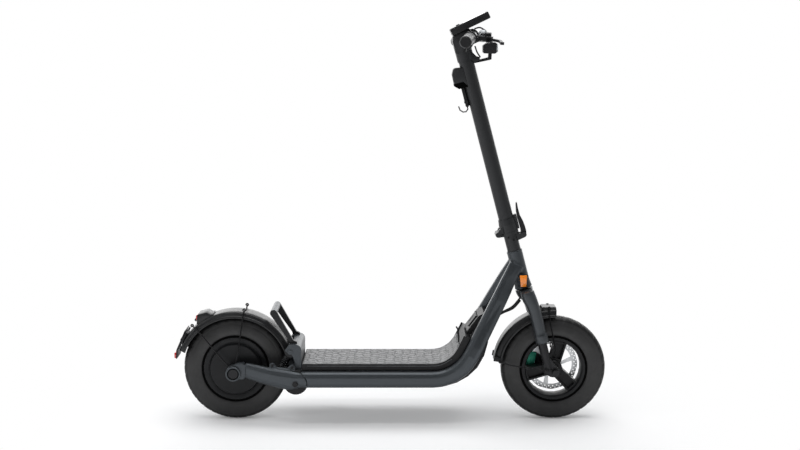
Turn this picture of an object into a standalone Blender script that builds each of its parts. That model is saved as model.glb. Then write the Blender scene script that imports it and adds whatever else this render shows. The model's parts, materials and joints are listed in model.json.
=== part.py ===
"""Electric scooter with a folding stem, telescopic fork, swing arm and hub motor.

Metres, +X forward, +Y to the rider's left, +Z up, ground at z = 0.
"""

from math import acos, asin, atan2, cos, hypot, pi, radians, sin, sqrt, tan

import bmesh
import bpy
from mathutils import Matrix, Vector

# General clearances
GAP = 0.0003
SLIDE_GAP = 0.0005
SWING_GAP = 0.0008

# Sides of round shapes
ROUND = 18
SMALL_ROUND = 10
RING_POINTS = 12

# Wheels and tyres
WHEEL_STEPS = 40
RIM_STEPS = 32
TYRE_RADIUS = 0.159
TYRE_WIDTH = 0.058
TYRE_CROWN_HALF = 0.010
TYRE_WALL = 0.004
RIM_LIP_RADIUS = 0.0965
RIM_SEAT_RADIUS = 0.0905
RIM_BORE_RADIUS = 0.0845
RIM_WIDTH = 0.054
RIM_LIP_THICKNESS = 0.0042
WHEELBASE = 0.965
REAR_AXLE_X = -0.466
AXLE_Z = TYRE_RADIUS
FRONT_AXLE_X = REAR_AXLE_X + WHEELBASE
AXLE_RADIUS = 0.006
BEARING_RADIUS = 0.016
BEARING_WIDTH = 0.009
DISC_THICKNESS = 0.002
DISC_BAND = 0.014

# Front wheel
HUB_RADIUS = 0.027
HUB_HALF = 0.0305
SPOKE_COUNT = 3
SPOKE_PHASE = radians(75)
SPOKE_WIDTH = 0.034
SPOKE_DEPTH = 0.040
SPOKE_WALL = 0.0045
SPOKE_POCKET_DEPTH = 0.012
FRONT_DISC_RADIUS = 0.080
FRONT_DISC_Y = 0.0337
CALIPER_REACH = 0.0140

# Rear hub motor
MOTOR_RADIUS = 0.080
MOTOR_BORE_RADIUS = 0.0765
MOTOR_HALF = 0.0297
MOTOR_COVER_THICKNESS = 0.006
MOTOR_BOSS_RADIUS = 0.024
REAR_DISC_RADIUS = 0.070
REAR_DISC_Y = 0.0475
CARRIER_INNER_Y = 0.062

# Swing arm
PIVOT_X = -0.278
PIVOT_Z = 0.136
PIVOT_SHAFT_RADIUS = 0.006
PIVOT_TUBE_RADIUS = 0.014
PIVOT_TUBE_HALF = 0.0797
SEAT_HALF_WIDTH = 0.0785
ARM_END_RADIUS = 0.0345
CARRIER_RADIUS = 0.024
CARRIER_THICKNESS = 0.022
AXLE_EYE_THICKNESS = 0.0052
AXLE_SHOULDER_RADIUS = 0.0095
AXLE_CAP_RADIUS = 0.0165
AXLE_CAP_THICKNESS = 0.006
BRIDGE_RADIUS = 0.008

# Shocks
SHOCK_LOWER_X = -0.3256
SHOCK_LOWER_Z = 0.1669
SHOCK_UPPER_X = -0.2955
SHOCK_UPPER_Z = 0.2235
SHOCK_Y = 0.055
SHOCK_EYE_RADIUS = 0.0075
SHOCK_EYE_HALF = 0.006
SHOCK_PIN_RADIUS = 0.004
SHOCK_BODY_RADIUS = 0.0082
SHOCK_ROD_RADIUS = 0.0038
SHOCK_BODY_LENGTH = 0.034
UPPER_PERCH_AT = 0.0125
LOWER_PERCH_AT = 0.0090
PERCH_THICKNESS = 0.0030
PERCH_RADIUS = 0.0122
SPRING_WIRE = 0.0026
SPRING_MEAN_RADIUS = 0.0108
SPRING_TURNS = 5
SPRING_POINTS_PER_TURN = 8

# Frame tubes
TUBE_HEIGHT = 0.0486
TUBE_WIDTH = 0.040
TUBE_Y = 0.100
TUBE_Z = 0.146
BEND_X = 0.130
BEND_RADIUS = 0.1273
BEND_END = radians(64.3)
RAKE = radians(14.8)
HEAD_X = 0.377
HEAD_Z = 0.520
HEAD_TUBE_LENGTH = 0.118
HEAD_TUBE_RADIUS = 0.0235
HEAD_TUBE_FLARE = 0.0265
FRAME_END_X = -0.262
TUBE_TAPER = (
    (0.10, 0.0955, 1.0),
    (0.28, 0.0802, 1.0),
    (0.60, 0.0570, 0.98),
    (0.82, 0.0390, 0.95),
    (0.98, 0.0225, 0.90),
)

# Deck
DECK_REAR_X = -0.2594
DECK_TOP_Z = 0.1908
DECK_HALF_WIDTH = 0.092
MAT_HALF_WIDTH = 0.0885
MAT_THICKNESS = 0.0045
DECK_PLATE_THICKNESS = 0.0155
DECK_RISE = 0.044
TRAY_HALF_WIDTH = 0.0775
TRAY_BOTTOM_Z = 0.1115
TRAY_WALL = 0.003
NOSE_RADIUS = 0.171
NOSE_END = radians(94)
NOSE_HALF_WIDTH = 0.058
COVER_HALF_WIDTH = 0.0490
LID_HALF_WIDTH = 0.0270
LID_LENGTH = 0.0390
LID_THICKNESS = 0.0034
LID_HINGE = (0.1032, -0.0290)
LID_TILT = radians(11.3)
LID_PIN_RADIUS = 0.0009
BATTERY_SIZE = (0.255, 0.138, 0.046)
BATTERY_X = -0.002
TRAY_ROOM_REAR = -0.209

# Loop handle and rear bracket
BRACKET_PLATE = 0.006
BRACKET_OUTER_Y = 0.0775
BRACKET_FRONT_X = -0.262
BRACKET_TOP_Z = 0.2465
BRACKET_LOBE = 0.0165
BRACKET_NOTCH_X = -0.2912
HANDLE_X = -0.345
HANDLE_Z = 0.339
HANDLE_HALF = 0.062
HANDLE_BAR_RADIUS = 0.0105
HANDLE_ARM_THICKNESS = 0.009
HANDLE_ARM_WIDTH = 0.014

# Fenders
FENDER_WALL = 0.0025
REAR_FENDER_RADIUS = 0.178
REAR_FENDER_HALF = 0.0405
REAR_FENDER_SKIRT = 0.150
REAR_FENDER_START = radians(16)
REAR_FENDER_END = radians(161)
FRONT_FENDER_RADIUS = 0.183
FRONT_FENDER_HALF = 0.0345
FRONT_FENDER_SKIRT = 0.160
FRONT_FENDER_START = radians(84)
FRONT_FENDER_END = radians(170.5)
STAY_RADIUS = 0.0025

# Fork, in the frame of the steering axis
LEG_OFFSET = 0.0100
LEG_Y = 0.057
UPPER_LEG_RADIUS = 0.0200
UPPER_LEG_TOP_RADIUS = 0.0270
LEG_COLLAR_RADIUS = 0.0218
LOWER_LEG_RADIUS = 0.0134
DROPOUT_HALF = 0.0100
EYE_THICKNESS = 0.0088
CROWN_TOP = -0.1215
CROWN_THICKNESS = 0.0300
UPPER_LEG_END = -0.2850
FORK_TRAVEL = 0.030
STEERER_RADIUS = 0.0143
STEERER_TOP = 0.030

# Steering base, fold and stem, in the frame of the steering axis
BASE_RADIUS = 0.0205
COLLAR_RADIUS = 0.0270
SPLIT_Z = 0.060
FOLD_PIN_X = -0.0360
FOLD_PIN_RADIUS = 0.004
KNUCKLE_RADIUS = 0.0080
LATCH_X = 0.0400
LATCH_Z = 0.0400
LATCH_TOP = 0.1400
STEM_RADIUS = 0.0225
STEM_BOTTOM = 0.0700
STEM_TOP = 0.6400
SLEEVE_RADIUS = 0.0255
BAR_X = 0.0330
BAR_Z = 0.6511
BAR_CENTRE_RADIUS = 0.0159
BAR_END_RADIUS = 0.0111
BAR_STRAIGHT = 0.050
BAR_BEND_END = 0.090
BAR_HALF = 0.299
BAR_SWEEP = 0.1562
BAR_DROP = 0.0342
GRIP_RADIUS = 0.0170
GRIP_INNER_Y = 0.172
GRIP_LENGTH = 0.130
DISPLAY_LENGTH = 0.1215
DISPLAY_THICKNESS = 0.0205
DISPLAY_WIDTH = 0.078
DISPLAY_TILT = radians(10.7)
DISPLAY_REAR_X = -0.0244
DISPLAY_REAR_Z = 0.6857
PERCH_Y = 0.1380
LEVER_DROP = radians(18)
LEVER_PIVOT_X = 0.0580
THROTTLE_Y = 0.1525
THROTTLE_HALF = 0.0055
PADDLE_Y = 0.1640
PADDLE_HALF = 0.0052
PADDLE_REACH = 0.0390
PADDLE_ANGLE = radians(232)
BELL_Y = 0.100
BELL_REACH = 0.0330
BELL_RADIUS = 0.0135
BELL_STRIKER = (0.0330, 0.0185)

# Kickstand
STAND_X = -0.100
STAND_Y = 0.1035
STAND_Z = 0.1085
STAND_SPLAY = radians(13.9)
STAND_HEAD_HALF = 0.0042
STAND_LENGTH = 0.098
STAND_RADIUS = 0.007

# Colours: red, green, blue, roughness, metallic
FINISHES = {
    "gunmetal": (0.085, 0.092, 0.100, 0.38, 0.75),
    "black_metal": (0.025, 0.026, 0.028, 0.40, 0.60),
    "black_plastic": (0.022, 0.022, 0.024, 0.55, 0.0),
    "grey_plastic": (0.070, 0.072, 0.075, 0.50, 0.0),
    "rubber": (0.020, 0.020, 0.020, 0.85, 0.0),
    "mat_rubber": (0.200, 0.205, 0.210, 0.80, 0.0),
    "steel": (0.560, 0.570, 0.580, 0.30, 1.0),
    "green_metal": (0.020, 0.190, 0.100, 0.40, 0.60),
    "amber": (0.850, 0.300, 0.030, 0.30, 0.0),
    "red_lens": (0.500, 0.020, 0.020, 0.25, 0.0),
    "clear_lens": (0.700, 0.720, 0.740, 0.10, 0.0),
    "glass": (0.010, 0.011, 0.014, 0.08, 0.0),
    "copper": (0.600, 0.260, 0.120, 0.45, 0.80),
}

PARTS_NAME = "electric_scooter"


# Scene helpers
def clear_scene():
    """Remove the objects that the file opened with."""
    for item in list(bpy.data.objects):
        bpy.data.objects.remove(item, do_unlink=True)


def new_collection(name):
    """Make a collection under the scene."""
    made = bpy.data.collections.new(name)
    bpy.context.scene.collection.children.link(made)
    return made


def finish_material(name, finish):
    """Make a Principled material for one part."""
    red, green, blue, roughness, metallic = FINISHES[finish]
    made = bpy.data.materials.new(name)
    made.use_nodes = True
    shader = made.node_tree.nodes["Principled BSDF"]
    shader.inputs["Base Color"].default_value = (red, green, blue, 1.0)
    shader.inputs["Roughness"].default_value = roughness
    shader.inputs["Metallic"].default_value = metallic
    made.diffuse_color = (red, green, blue, 1.0)
    return made


def frame_empty(name, location, rotation=(0.0, 0.0, 0.0), parent=None):
    """Make an empty that carries the parts on one axis."""
    made = bpy.data.objects.new(name, None)
    made.empty_display_size = 0.03
    made.location = location
    made.rotation_euler = rotation
    made.parent = parent
    PARTS.objects.link(made)
    return made


def blank(mesh, name="blank"):
    """Put a mesh in the work collection, where shapes are joined and cut."""
    made = bpy.data.objects.new(name, mesh)
    made.hide_render = True
    made.display_type = "WIRE"
    CUTTERS.objects.link(made)
    return made


def evaluated_mesh(item):
    """Give the mesh of an object with its modifiers applied, in its own space."""
    bpy.context.view_layer.update()
    graph = bpy.context.evaluated_depsgraph_get()
    return bpy.data.meshes.new_from_object(item.evaluated_get(graph))


def bake(item):
    """Replace an object by a plain mesh object of its evaluated shape."""
    mesh = evaluated_mesh(item)
    mesh.transform(item.matrix_world)
    bpy.data.objects.remove(item, do_unlink=True)
    weld(mesh)
    return blank(mesh)


def weld(mesh, distance=1e-6):
    """Weld loose caps and seams of a mesh and turn its faces outwards."""
    work = bmesh.new()
    work.from_mesh(mesh)
    bmesh.ops.remove_doubles(work, verts=work.verts, dist=distance)
    bmesh.ops.recalc_face_normals(work, faces=work.faces)
    work.to_mesh(mesh)
    work.free()


# Shapes
def block(size, centre, turn=None, bevel=0.0, segments=2):
    """A box, with its edges rounded where a bevel is given."""
    work = bmesh.new()
    bmesh.ops.create_cube(work, size=1.0)
    bmesh.ops.scale(work, vec=size, verts=work.verts)
    mesh = bpy.data.meshes.new("block")
    work.to_mesh(mesh)
    work.free()
    item = blank(mesh)
    if bevel > 0.0:
        rounding = item.modifiers.new("rounding", "BEVEL")
        rounding.width = bevel
        rounding.segments = segments
    item.location = centre
    if turn is not None:
        item.rotation_euler = turn
    return bake(item)


def rod(start, end, radius, end_radius=None, sides=ROUND):
    """A cylinder or cone between two points."""
    start = Vector(start)
    end = Vector(end)
    along = end - start
    work = bmesh.new()
    bmesh.ops.create_cone(
        work,
        cap_ends=True,
        segments=sides,
        radius1=radius,
        radius2=radius if end_radius is None else end_radius,
        depth=along.length,
    )
    turn = along.to_track_quat("Z", "Y").to_matrix().to_4x4()
    place = Matrix.Translation((start + end) / 2) @ turn
    bmesh.ops.transform(work, matrix=place, verts=work.verts)
    mesh = bpy.data.meshes.new("rod")
    work.to_mesh(mesh)
    work.free()
    return blank(mesh)


def cross_rod(x, z, y_from, y_to, radius, sides=ROUND):
    """A cylinder along Y."""
    return rod((x, y_from, z), (x, y_to, z), radius, sides=sides)


def turned(profile, steps, closed=True, angle=2 * pi):
    """A profile of (radius, height) points turned about Z."""
    mesh = bpy.data.meshes.new("turned")
    points = [(radius, 0.0, height) for radius, height in profile]
    count = len(points)
    edges = [(i, i + 1) for i in range(count - 1)]
    if closed:
        edges.append((count - 1, 0))
    mesh.from_pydata(points, edges, [])
    item = blank(mesh)
    screw = item.modifiers.new("turn", "SCREW")
    screw.angle = angle
    screw.steps = steps
    screw.render_steps = steps
    screw.use_merge_vertices = True
    screw.merge_threshold = 1e-5
    return item


def plate(outline, thickness, holes=(), axis="Y", at=0.0):
    """A flat outline, with holes, given a thickness about a plane square to an axis."""
    curve = bpy.data.curves.new("plate", "CURVE")
    curve.dimensions = "2D"
    curve.fill_mode = "BOTH"
    curve.extrude = thickness / 2
    for ring in [outline, *holes]:
        spline = curve.splines.new("POLY")
        spline.points.add(len(ring) - 1)
        for point, (across, up) in zip(spline.points, ring):
            point.co = (across, up, 0.0, 1.0)
        spline.use_cyclic_u = True
    item = bpy.data.objects.new("plate", curve)
    CUTTERS.objects.link(item)
    if axis == "Y":
        item.rotation_euler = (pi / 2, 0.0, 0.0)
        item.location = (0.0, at, 0.0)
    elif axis == "X":
        item.rotation_euler = (pi / 2, 0.0, pi / 2)
        item.location = (at, 0.0, 0.0)
    else:
        item.location = (0.0, 0.0, at)
    return bake(item)


def pipe(points, radius, scales=None, resolution=2, closed=False):
    """A round wire or tube along points, its radius scaled at each point."""
    curve = bpy.data.curves.new("pipe", "CURVE")
    curve.dimensions = "3D"
    curve.bevel_depth = radius
    curve.bevel_resolution = resolution
    curve.use_fill_caps = not closed
    spline = curve.splines.new("POLY")
    spline.points.add(len(points) - 1)
    for number, point in enumerate(points):
        spline.points[number].co = (*point, 1.0)
        if scales is not None:
            spline.points[number].radius = scales[number]
    spline.use_cyclic_u = closed
    item = bpy.data.objects.new("pipe", curve)
    CUTTERS.objects.link(item)
    return bake(item)


def loft(rings):
    """A closed body through rings of the same count of points."""
    work = bmesh.new()
    rows = [[work.verts.new(point) for point in ring] for ring in rings]
    count = len(rows[0])
    for lower, upper in zip(rows, rows[1:]):
        for i in range(count):
            j = (i + 1) % count
            work.faces.new((lower[i], lower[j], upper[j], upper[i]))
    work.faces.new(list(reversed(rows[0])))
    work.faces.new(rows[-1])
    bmesh.ops.recalc_face_normals(work, faces=work.faces)
    mesh = bpy.data.meshes.new("loft")
    work.to_mesh(mesh)
    work.free()
    return blank(mesh)


def boolean(base, other, operation):
    """Apply one exact Boolean and remove the second shape."""
    step = base.modifiers.new(operation.lower(), "BOOLEAN")
    step.operation = operation
    step.solver = "EXACT"
    step.object = other
    result = bake(base)
    bpy.data.objects.remove(other, do_unlink=True)
    return result


def join(base, *others):
    """Weld shapes into one body."""
    for other in others:
        base = boolean(base, other, "UNION")
    return base


def cut(base, *others):
    """Cut shapes out of a body."""
    for other in others:
        base = boolean(base, other, "DIFFERENCE")
    return base


def mirrored(item):
    """A copy of a shape on the other side of the XZ plane."""
    mesh = item.data.copy()
    work = bmesh.new()
    work.from_mesh(mesh)
    bmesh.ops.scale(work, vec=(1.0, -1.0, 1.0), verts=work.verts)
    bmesh.ops.reverse_faces(work, faces=work.faces)
    work.to_mesh(mesh)
    work.free()
    return blank(mesh)


def moved(item, offset=(0.0, 0.0, 0.0), turn=None):
    """Turn a shape about the origin and then shift it."""
    if turn is not None:
        item.data.transform(turn)
    item.data.transform(Matrix.Translation(offset))
    return item


def wheel_turned(profile, steps):
    """A profile turned about the Y axis, with a flat facet at the bottom."""
    item = bake(turned(profile, steps))
    turn = Matrix.Rotation(-pi / 2, 4, "X") @ Matrix.Rotation(pi / steps, 4, "Z")
    return moved(item, turn=turn)


def part(item, name, finish, parent, smooth=radians(35)):
    """Turn a finished shape into a named part of the scooter."""
    mesh = item.data
    mesh.name = name
    mesh.shade_smooth()
    mesh.set_sharp_from_angle(angle=smooth)
    mesh.materials.clear()
    mesh.materials.append(finish_material(name, finish))
    item.name = name
    item.hide_render = False
    item.display_type = "TEXTURED"
    CUTTERS.objects.unlink(item)
    PARTS.objects.link(item)
    item.parent = parent
    return item


def pair(item, name, finish, parents, smooth=radians(35)):
    """Make the right-hand part and its mirror image on the left."""
    other = mirrored(item)
    part(item, name + "_right", finish, parents[0], smooth)
    part(other, name + "_left", finish, parents[1], smooth)


def arc(centre, radius, start, end, count):
    """Points on an arc, from one angle to another, both in radians."""
    turns = [start + (end - start) * i / (count - 1) for i in range(count)]
    return [(centre[0] + radius * cos(t), centre[1] + radius * sin(t)) for t in turns]


def circle(centre, radius, count):
    """Points on a full circle."""
    return arc(centre, radius, 0.0, 2 * pi * (count - 1) / count, count)


def rounded_ring(centre, side, up, half_width, half_height, count=RING_POINTS, power=2.8):
    """Points of a rounded rectangle about a centre, along two directions."""
    ring = []
    for i in range(count):
        turn = 2 * pi * (i + 0.5) / count
        across = abs(cos(turn)) ** (2 / power) * (1 if cos(turn) > 0 else -1)
        rise = abs(sin(turn)) ** (2 / power) * (1 if sin(turn) > 0 else -1)
        ring.append(Vector(centre) + side * (across * half_width) + up * (rise * half_height))
    return ring


# Wheels
def rim_profile():
    """Section of a rim: lips, bead seat and bore."""
    half = RIM_WIDTH / 2
    inner = half - RIM_LIP_THICKNESS
    outside = [
        (RIM_LIP_RADIUS, half),
        (RIM_LIP_RADIUS, inner),
        (RIM_SEAT_RADIUS, inner),
    ]
    outside += [(radius, -height) for radius, height in reversed(outside)]
    inside = [(RIM_BORE_RADIUS + 0.0035, -half), (RIM_BORE_RADIUS, -half + 0.006)]
    inside += [(radius, -height) for radius, height in reversed(inside)]
    return outside + inside


def tyre_profile():
    """Section of a tyre: rounded crown, side walls and beads, hollow inside."""
    half = TYRE_WIDTH / 2
    bead = RIM_WIDTH / 2 - RIM_LIP_THICKNESS - GAP
    crown = TYRE_RADIUS / cos(pi / WHEEL_STEPS)
    outside = [
        (crown, TYRE_CROWN_HALF),
        (TYRE_RADIUS - 0.0065, half * 0.80),
        (TYRE_RADIUS - 0.0220, half),
        (RIM_LIP_RADIUS + 0.0110, half * 0.97),
        (RIM_LIP_RADIUS + GAP, bead),
        (RIM_SEAT_RADIUS + GAP, bead),
    ]
    inside = [
        (RIM_SEAT_RADIUS + GAP, bead - 1.6 * TYRE_WALL),
        (TYRE_RADIUS - 0.0260, half - TYRE_WALL),
        (TYRE_RADIUS - 1.4 * TYRE_WALL, TYRE_CROWN_HALF),
    ]
    inside += [(radius, -height) for radius, height in reversed(inside)]
    lower = [(radius, -height) for radius, height in outside]
    return list(reversed(outside)) + lower + list(reversed(inside))


def make_tyre(name, parent):
    """A tubeless tyre on its rim."""
    profile = tyre_profile()
    part(wheel_turned(profile, WHEEL_STEPS), name, "rubber", parent)


def disc_openings(radius, hub, arms):
    """Openings of a brake disc between its arms."""
    band = radius - DISC_BAND
    openings = []
    for number in range(arms):
        start = 2 * pi * number / arms
        wide = 2 * pi / arms
        outer = arc((0, 0), band, start + 0.10 * wide, start + 0.88 * wide, 5)
        inner = arc((0, 0), hub, start + 0.62 * wide, start + 0.16 * wide, 3)
        openings.append(outer + inner)
    return openings


def make_disc(name, radius, bore, y, parent, hub, arms=6):
    """A brake disc on its carrier arms."""
    holes = [circle((0, 0), bore, ROUND), *disc_openings(radius, hub + 0.002, arms)]
    disc = plate(circle((0, 0), radius, RIM_STEPS), DISC_THICKNESS, holes, "Y", y)
    part(disc, name, "steel", parent)





def spoke_shape():
    """One box spoke along +X, open to both sides in shallow pockets."""
    start = HUB_RADIUS * 0.7
    end = RIM_BORE_RADIUS + 0.0025
    half = SPOKE_WIDTH / 2
    wide = half * 1.12
    outline = [(start, -half), (end, -wide), (end, wide), (start, half)]
    spoke = plate(outline, SPOKE_DEPTH, (), "Y")
    inner = HUB_RADIUS + 0.004
    outer = RIM_BORE_RADIUS - 0.005
    narrow = half - SPOKE_WALL
    pocket = [(inner, -narrow), (outer, -narrow * 1.08), (outer, narrow * 1.08), (inner, narrow)]
    for side in (-1, 1):
        level = side * (SPOKE_DEPTH / 2 - SPOKE_POCKET_DEPTH / 2 + 0.0005)
        spoke = cut(spoke, plate(pocket, SPOKE_POCKET_DEPTH + 0.001, (), "Y", level))
    return spoke


def make_front_wheel(parent):
    """Cast rim with three spokes and its hub, bearings, tyre and disc."""
    rim = wheel_turned(rim_profile(), RIM_STEPS)
    dish = 0.0015
    bore = AXLE_RADIUS + GAP
    hub_profile = [
        (HUB_RADIUS - 0.003, HUB_HALF),
        (HUB_RADIUS, HUB_HALF - 0.003),
        (HUB_RADIUS, -HUB_HALF + 0.003),
        (HUB_RADIUS - 0.003, -HUB_HALF),
        (BEARING_RADIUS, -HUB_HALF),
        (bore + 0.0035, -HUB_HALF + dish),
        (bore, -HUB_HALF),
        (bore, HUB_HALF),
        (bore + 0.0035, HUB_HALF - dish),
        (BEARING_RADIUS, HUB_HALF),
    ]
    hub = wheel_turned(hub_profile, ROUND)
    for number in range(SPOKE_COUNT):
        turn = Matrix.Rotation(-SPOKE_PHASE - 2 * pi * number / SPOKE_COUNT, 4, "Y")
        rim = join(rim, moved(spoke_shape(), turn=turn))
    core = cross_rod(0.0, 0.0, -HUB_HALF, HUB_HALF, HUB_RADIUS - 0.001)
    rim = join(cut(rim, core), hub)
    boss_face = FRONT_DISC_Y - DISC_THICKNESS / 2 - GAP
    flange = [
        (HUB_RADIUS - 0.003, boss_face), (HUB_RADIUS - 0.003, HUB_HALF - 0.002),
        (BEARING_RADIUS, HUB_HALF - 0.002), (BEARING_RADIUS, boss_face),
    ]
    rim = join(rim, wheel_turned(flange, ROUND))
    part(rim, "front_rim", "black_metal", parent)
    make_tyre("front_tyre", parent)
    disc_bore = BEARING_RADIUS + 0.001
    make_disc("front_brake_disc", FRONT_DISC_RADIUS, disc_bore, FRONT_DISC_Y, parent, HUB_RADIUS - 0.004)


def motor_profile():
    """Section of the hub motor: rim, can, side covers and bosses round a hollow."""
    half = RIM_WIDTH / 2
    inner = half - RIM_LIP_THICKNESS
    cover = MOTOR_HALF + MOTOR_COVER_THICKNESS
    boss = REAR_DISC_Y - DISC_THICKNESS / 2 - GAP
    bore = AXLE_RADIUS + GAP
    outside = [
        (bore, MOTOR_HALF),
        (bore, boss),
        (MOTOR_BOSS_RADIUS, boss),
        (MOTOR_BOSS_RADIUS + 0.001, cover),
        (MOTOR_RADIUS - 0.004, cover - 0.0010),
        (MOTOR_RADIUS, half - 0.0020),
        (MOTOR_RADIUS + 0.0060, half),
        (RIM_LIP_RADIUS, half),
        (RIM_LIP_RADIUS, inner),
        (RIM_SEAT_RADIUS, inner),
    ]
    lower = [(radius, -height) for radius, height in reversed(outside)]
    return outside + lower + [(MOTOR_BORE_RADIUS, -MOTOR_HALF), (MOTOR_BORE_RADIUS, MOTOR_HALF)]


def make_rear_wheel(parent, fixed):
    """Hub motor with its rim and covers, the stator on the axle, tyre, disc and caliper."""
    part(wheel_turned(motor_profile(), RIM_STEPS), "hub_motor_shell", "black_metal", parent)
    make_tyre("rear_tyre", parent)
    disc_bore = AXLE_RADIUS + 0.0045
    make_disc("rear_brake_disc", REAR_DISC_RADIUS, disc_bore, REAR_DISC_Y, parent, MOTOR_BOSS_RADIUS)
    stator_half = MOTOR_HALF - 0.006
    rim = MOTOR_BORE_RADIUS - 0.003
    profile = [
        (rim, stator_half),
        (rim, -stator_half),
        (rim - 0.019, -stator_half),
        (rim - 0.021, -stator_half * 0.4),
        (AXLE_RADIUS + GAP, -stator_half * 0.4),
        (AXLE_RADIUS + GAP, stator_half * 0.4),
        (rim - 0.021, stator_half * 0.4),
        (rim - 0.019, stator_half),
    ]
    part(wheel_turned(profile, ROUND), "motor_stator", "copper", fixed)
    shape = caliper_shape(REAR_DISC_RADIUS, REAR_DISC_Y, 0.0098, 0.0120, 0.040)
    torque_arm = [(-0.0600, 0.0130), (-0.0600, -0.0130), (-0.0300, -0.0110)]
    torque_arm += arc((0.0, 0.0), 0.0155, radians(225), radians(495), 12)
    torque_arm += [(-0.0300, 0.0110)]
    arm_y = REAR_DISC_Y + 0.0068
    shape = join(shape, plate(torque_arm, 0.0040, (), "Y", arm_y))
    shape = cut(shape, cross_rod(0.0, 0.0, 0.04, 0.07, AXLE_SHOULDER_RADIUS + SLIDE_GAP))
    part(moved(shape, turn=Matrix.Rotation(radians(72), 4, "Y")), "rear_brake_caliper", "black_metal", fixed)


def caliper_shape(disc_radius, disc_y, inner_reach, outer_reach, long):
    """A disc caliper at -X of its wheel: two halves over the disc, joined outside it."""
    slot = DISC_THICKNESS / 2 + 0.0016
    inner_face = disc_y - inner_reach
    outer_face = disc_y + outer_reach
    deep = 0.030
    centre_x = -(disc_radius - deep / 2 + 0.0015)
    middle_y = (inner_face + outer_face) / 2
    body = block((deep, outer_face - inner_face, long), (centre_x, middle_y, 0.0), None, 0.005)
    mouth = cross_rod(0.0, 0.0, disc_y - slot, disc_y + slot, disc_radius + 0.0018, sides=48)
    return cut(body, mouth)


# Swing arm and rear end
def arm_rings():
    """Sections of the right arm, from the axle end to past the pivot."""
    width = TUBE_WIDTH / 2
    height = TUBE_HEIGHT / 2
    stations = [
        (REAR_AXLE_X + 0.0375, 0.0745, 0.1669, 0.0235, 0.0110),
        (REAR_AXLE_X + 0.0550, 0.0785, 0.1632, 0.0252, 0.0122),
        (REAR_AXLE_X + 0.0810, 0.0840, 0.1575, 0.0270, 0.0140),
        (REAR_AXLE_X + 0.1121, 0.0900, 0.1517, 0.0277, 0.0158),
        (REAR_AXLE_X + 0.1400, 0.0950, 0.1475, 0.0296, 0.0172),
        (PIVOT_X - 0.0180, 0.0985, 0.1438, 0.0305, 0.0182),
        (PIVOT_X - 0.0040, TUBE_Y, 0.1442, 0.0272, width - 0.001),
        (PIVOT_X + 0.0120, TUBE_Y, TUBE_Z, height, width),
        (PIVOT_X + 0.0600, TUBE_Y, TUBE_Z, height, width),
    ]
    side = Vector((0.0, 1.0, 0.0))
    up = Vector((0.0, 0.0, 1.0))
    rings = []
    for x, y, z, half_height, half_width in stations:
        rings.append(rounded_ring((x, -y, z), side, up, half_width, half_height))
    return rings


def arm_end_cutter():
    """Everything in front of the arm's round end, as one plate across the scooter."""
    far = PIVOT_X + 0.100
    top = PIVOT_Z + 0.080
    bottom = PIVOT_Z - 0.080
    outline = [(PIVOT_X, top)]
    outline += arc((PIVOT_X, PIVOT_Z), ARM_END_RADIUS, pi / 2, -pi / 2, 13)
    outline += [(PIVOT_X, bottom), (far, bottom), (far, top)]
    return plate(outline, 0.30)


def carrier_outline():
    """Side outline of the axle carrier, round about the axle."""
    front = REAR_AXLE_X + 0.0335
    outline = arc((REAR_AXLE_X, AXLE_Z), CARRIER_RADIUS, radians(235), radians(95), 9)
    outline += [(REAR_AXLE_X + 0.012, AXLE_Z + 0.0305), (front - 0.003, AXLE_Z + 0.0315)]
    outline += [(front, AXLE_Z + 0.0285), (front, AXLE_Z - 0.0150), (front - 0.003, AXLE_Z - 0.0178)]
    return outline


def ear_plate():
    """Plate on top of the right arm with two bolt ears."""
    rear_ear = (-0.3480, 0.1860)
    front_ear = (-0.2885, 0.1810)
    outline = arc(rear_ear, 0.0090, radians(200), radians(20), 6)
    outline += [(-0.3340, 0.1815), (-0.3040, 0.1790)]
    outline += arc(front_ear, 0.0085, radians(140), radians(0), 5)
    outline += [(-0.2800, 0.1600), (-0.3560, 0.1600)]
    return plate(outline, 0.0060, (), "Y", -(TUBE_Y - 0.0080))


def make_swing_arm(parent):
    """Both arms with axle carriers, shock pins, ears and the bridge, in one body."""
    arm = cut(loft(arm_rings()), arm_end_cutter())
    carrier_y = -(CARRIER_INNER_Y + CARRIER_THICKNESS / 2)
    carrier = plate(carrier_outline(), CARRIER_THICKNESS, (), "Y", carrier_y)
    neck_size = (0.010, CARRIER_THICKNESS - 0.005, 0.038)
    neck = block(neck_size, (REAR_AXLE_X + 0.0355, carrier_y, 0.1660))
    pin = cross_rod(SHOCK_LOWER_X, SHOCK_LOWER_Z, -0.090, -SHOCK_Y + SHOCK_EYE_HALF, SHOCK_PIN_RADIUS, SMALL_ROUND)
    arm = join(arm, carrier, neck, pin, ear_plate())
    shaft_hole = cross_rod(PIVOT_X, PIVOT_Z, -0.15, -0.05, PIVOT_SHAFT_RADIUS + GAP)
    axle_hole = cross_rod(REAR_AXLE_X, AXLE_Z, -0.12, -0.04, AXLE_RADIUS + GAP)
    arm = cut(arm, shaft_hole, axle_hole)
    other = mirrored(arm)
    bridge_x = PIVOT_X - 0.0190
    bridge_z = PIVOT_Z - 0.0215
    bridge = cross_rod(bridge_x, bridge_z, -TUBE_Y, TUBE_Y, BRIDGE_RADIUS)
    arm = join(arm, bridge, other)
    arm.data.transform(Matrix.Translation((-PIVOT_X, 0.0, -PIVOT_Z)))
    part(arm, "swing_arm", "gunmetal", parent)


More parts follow.
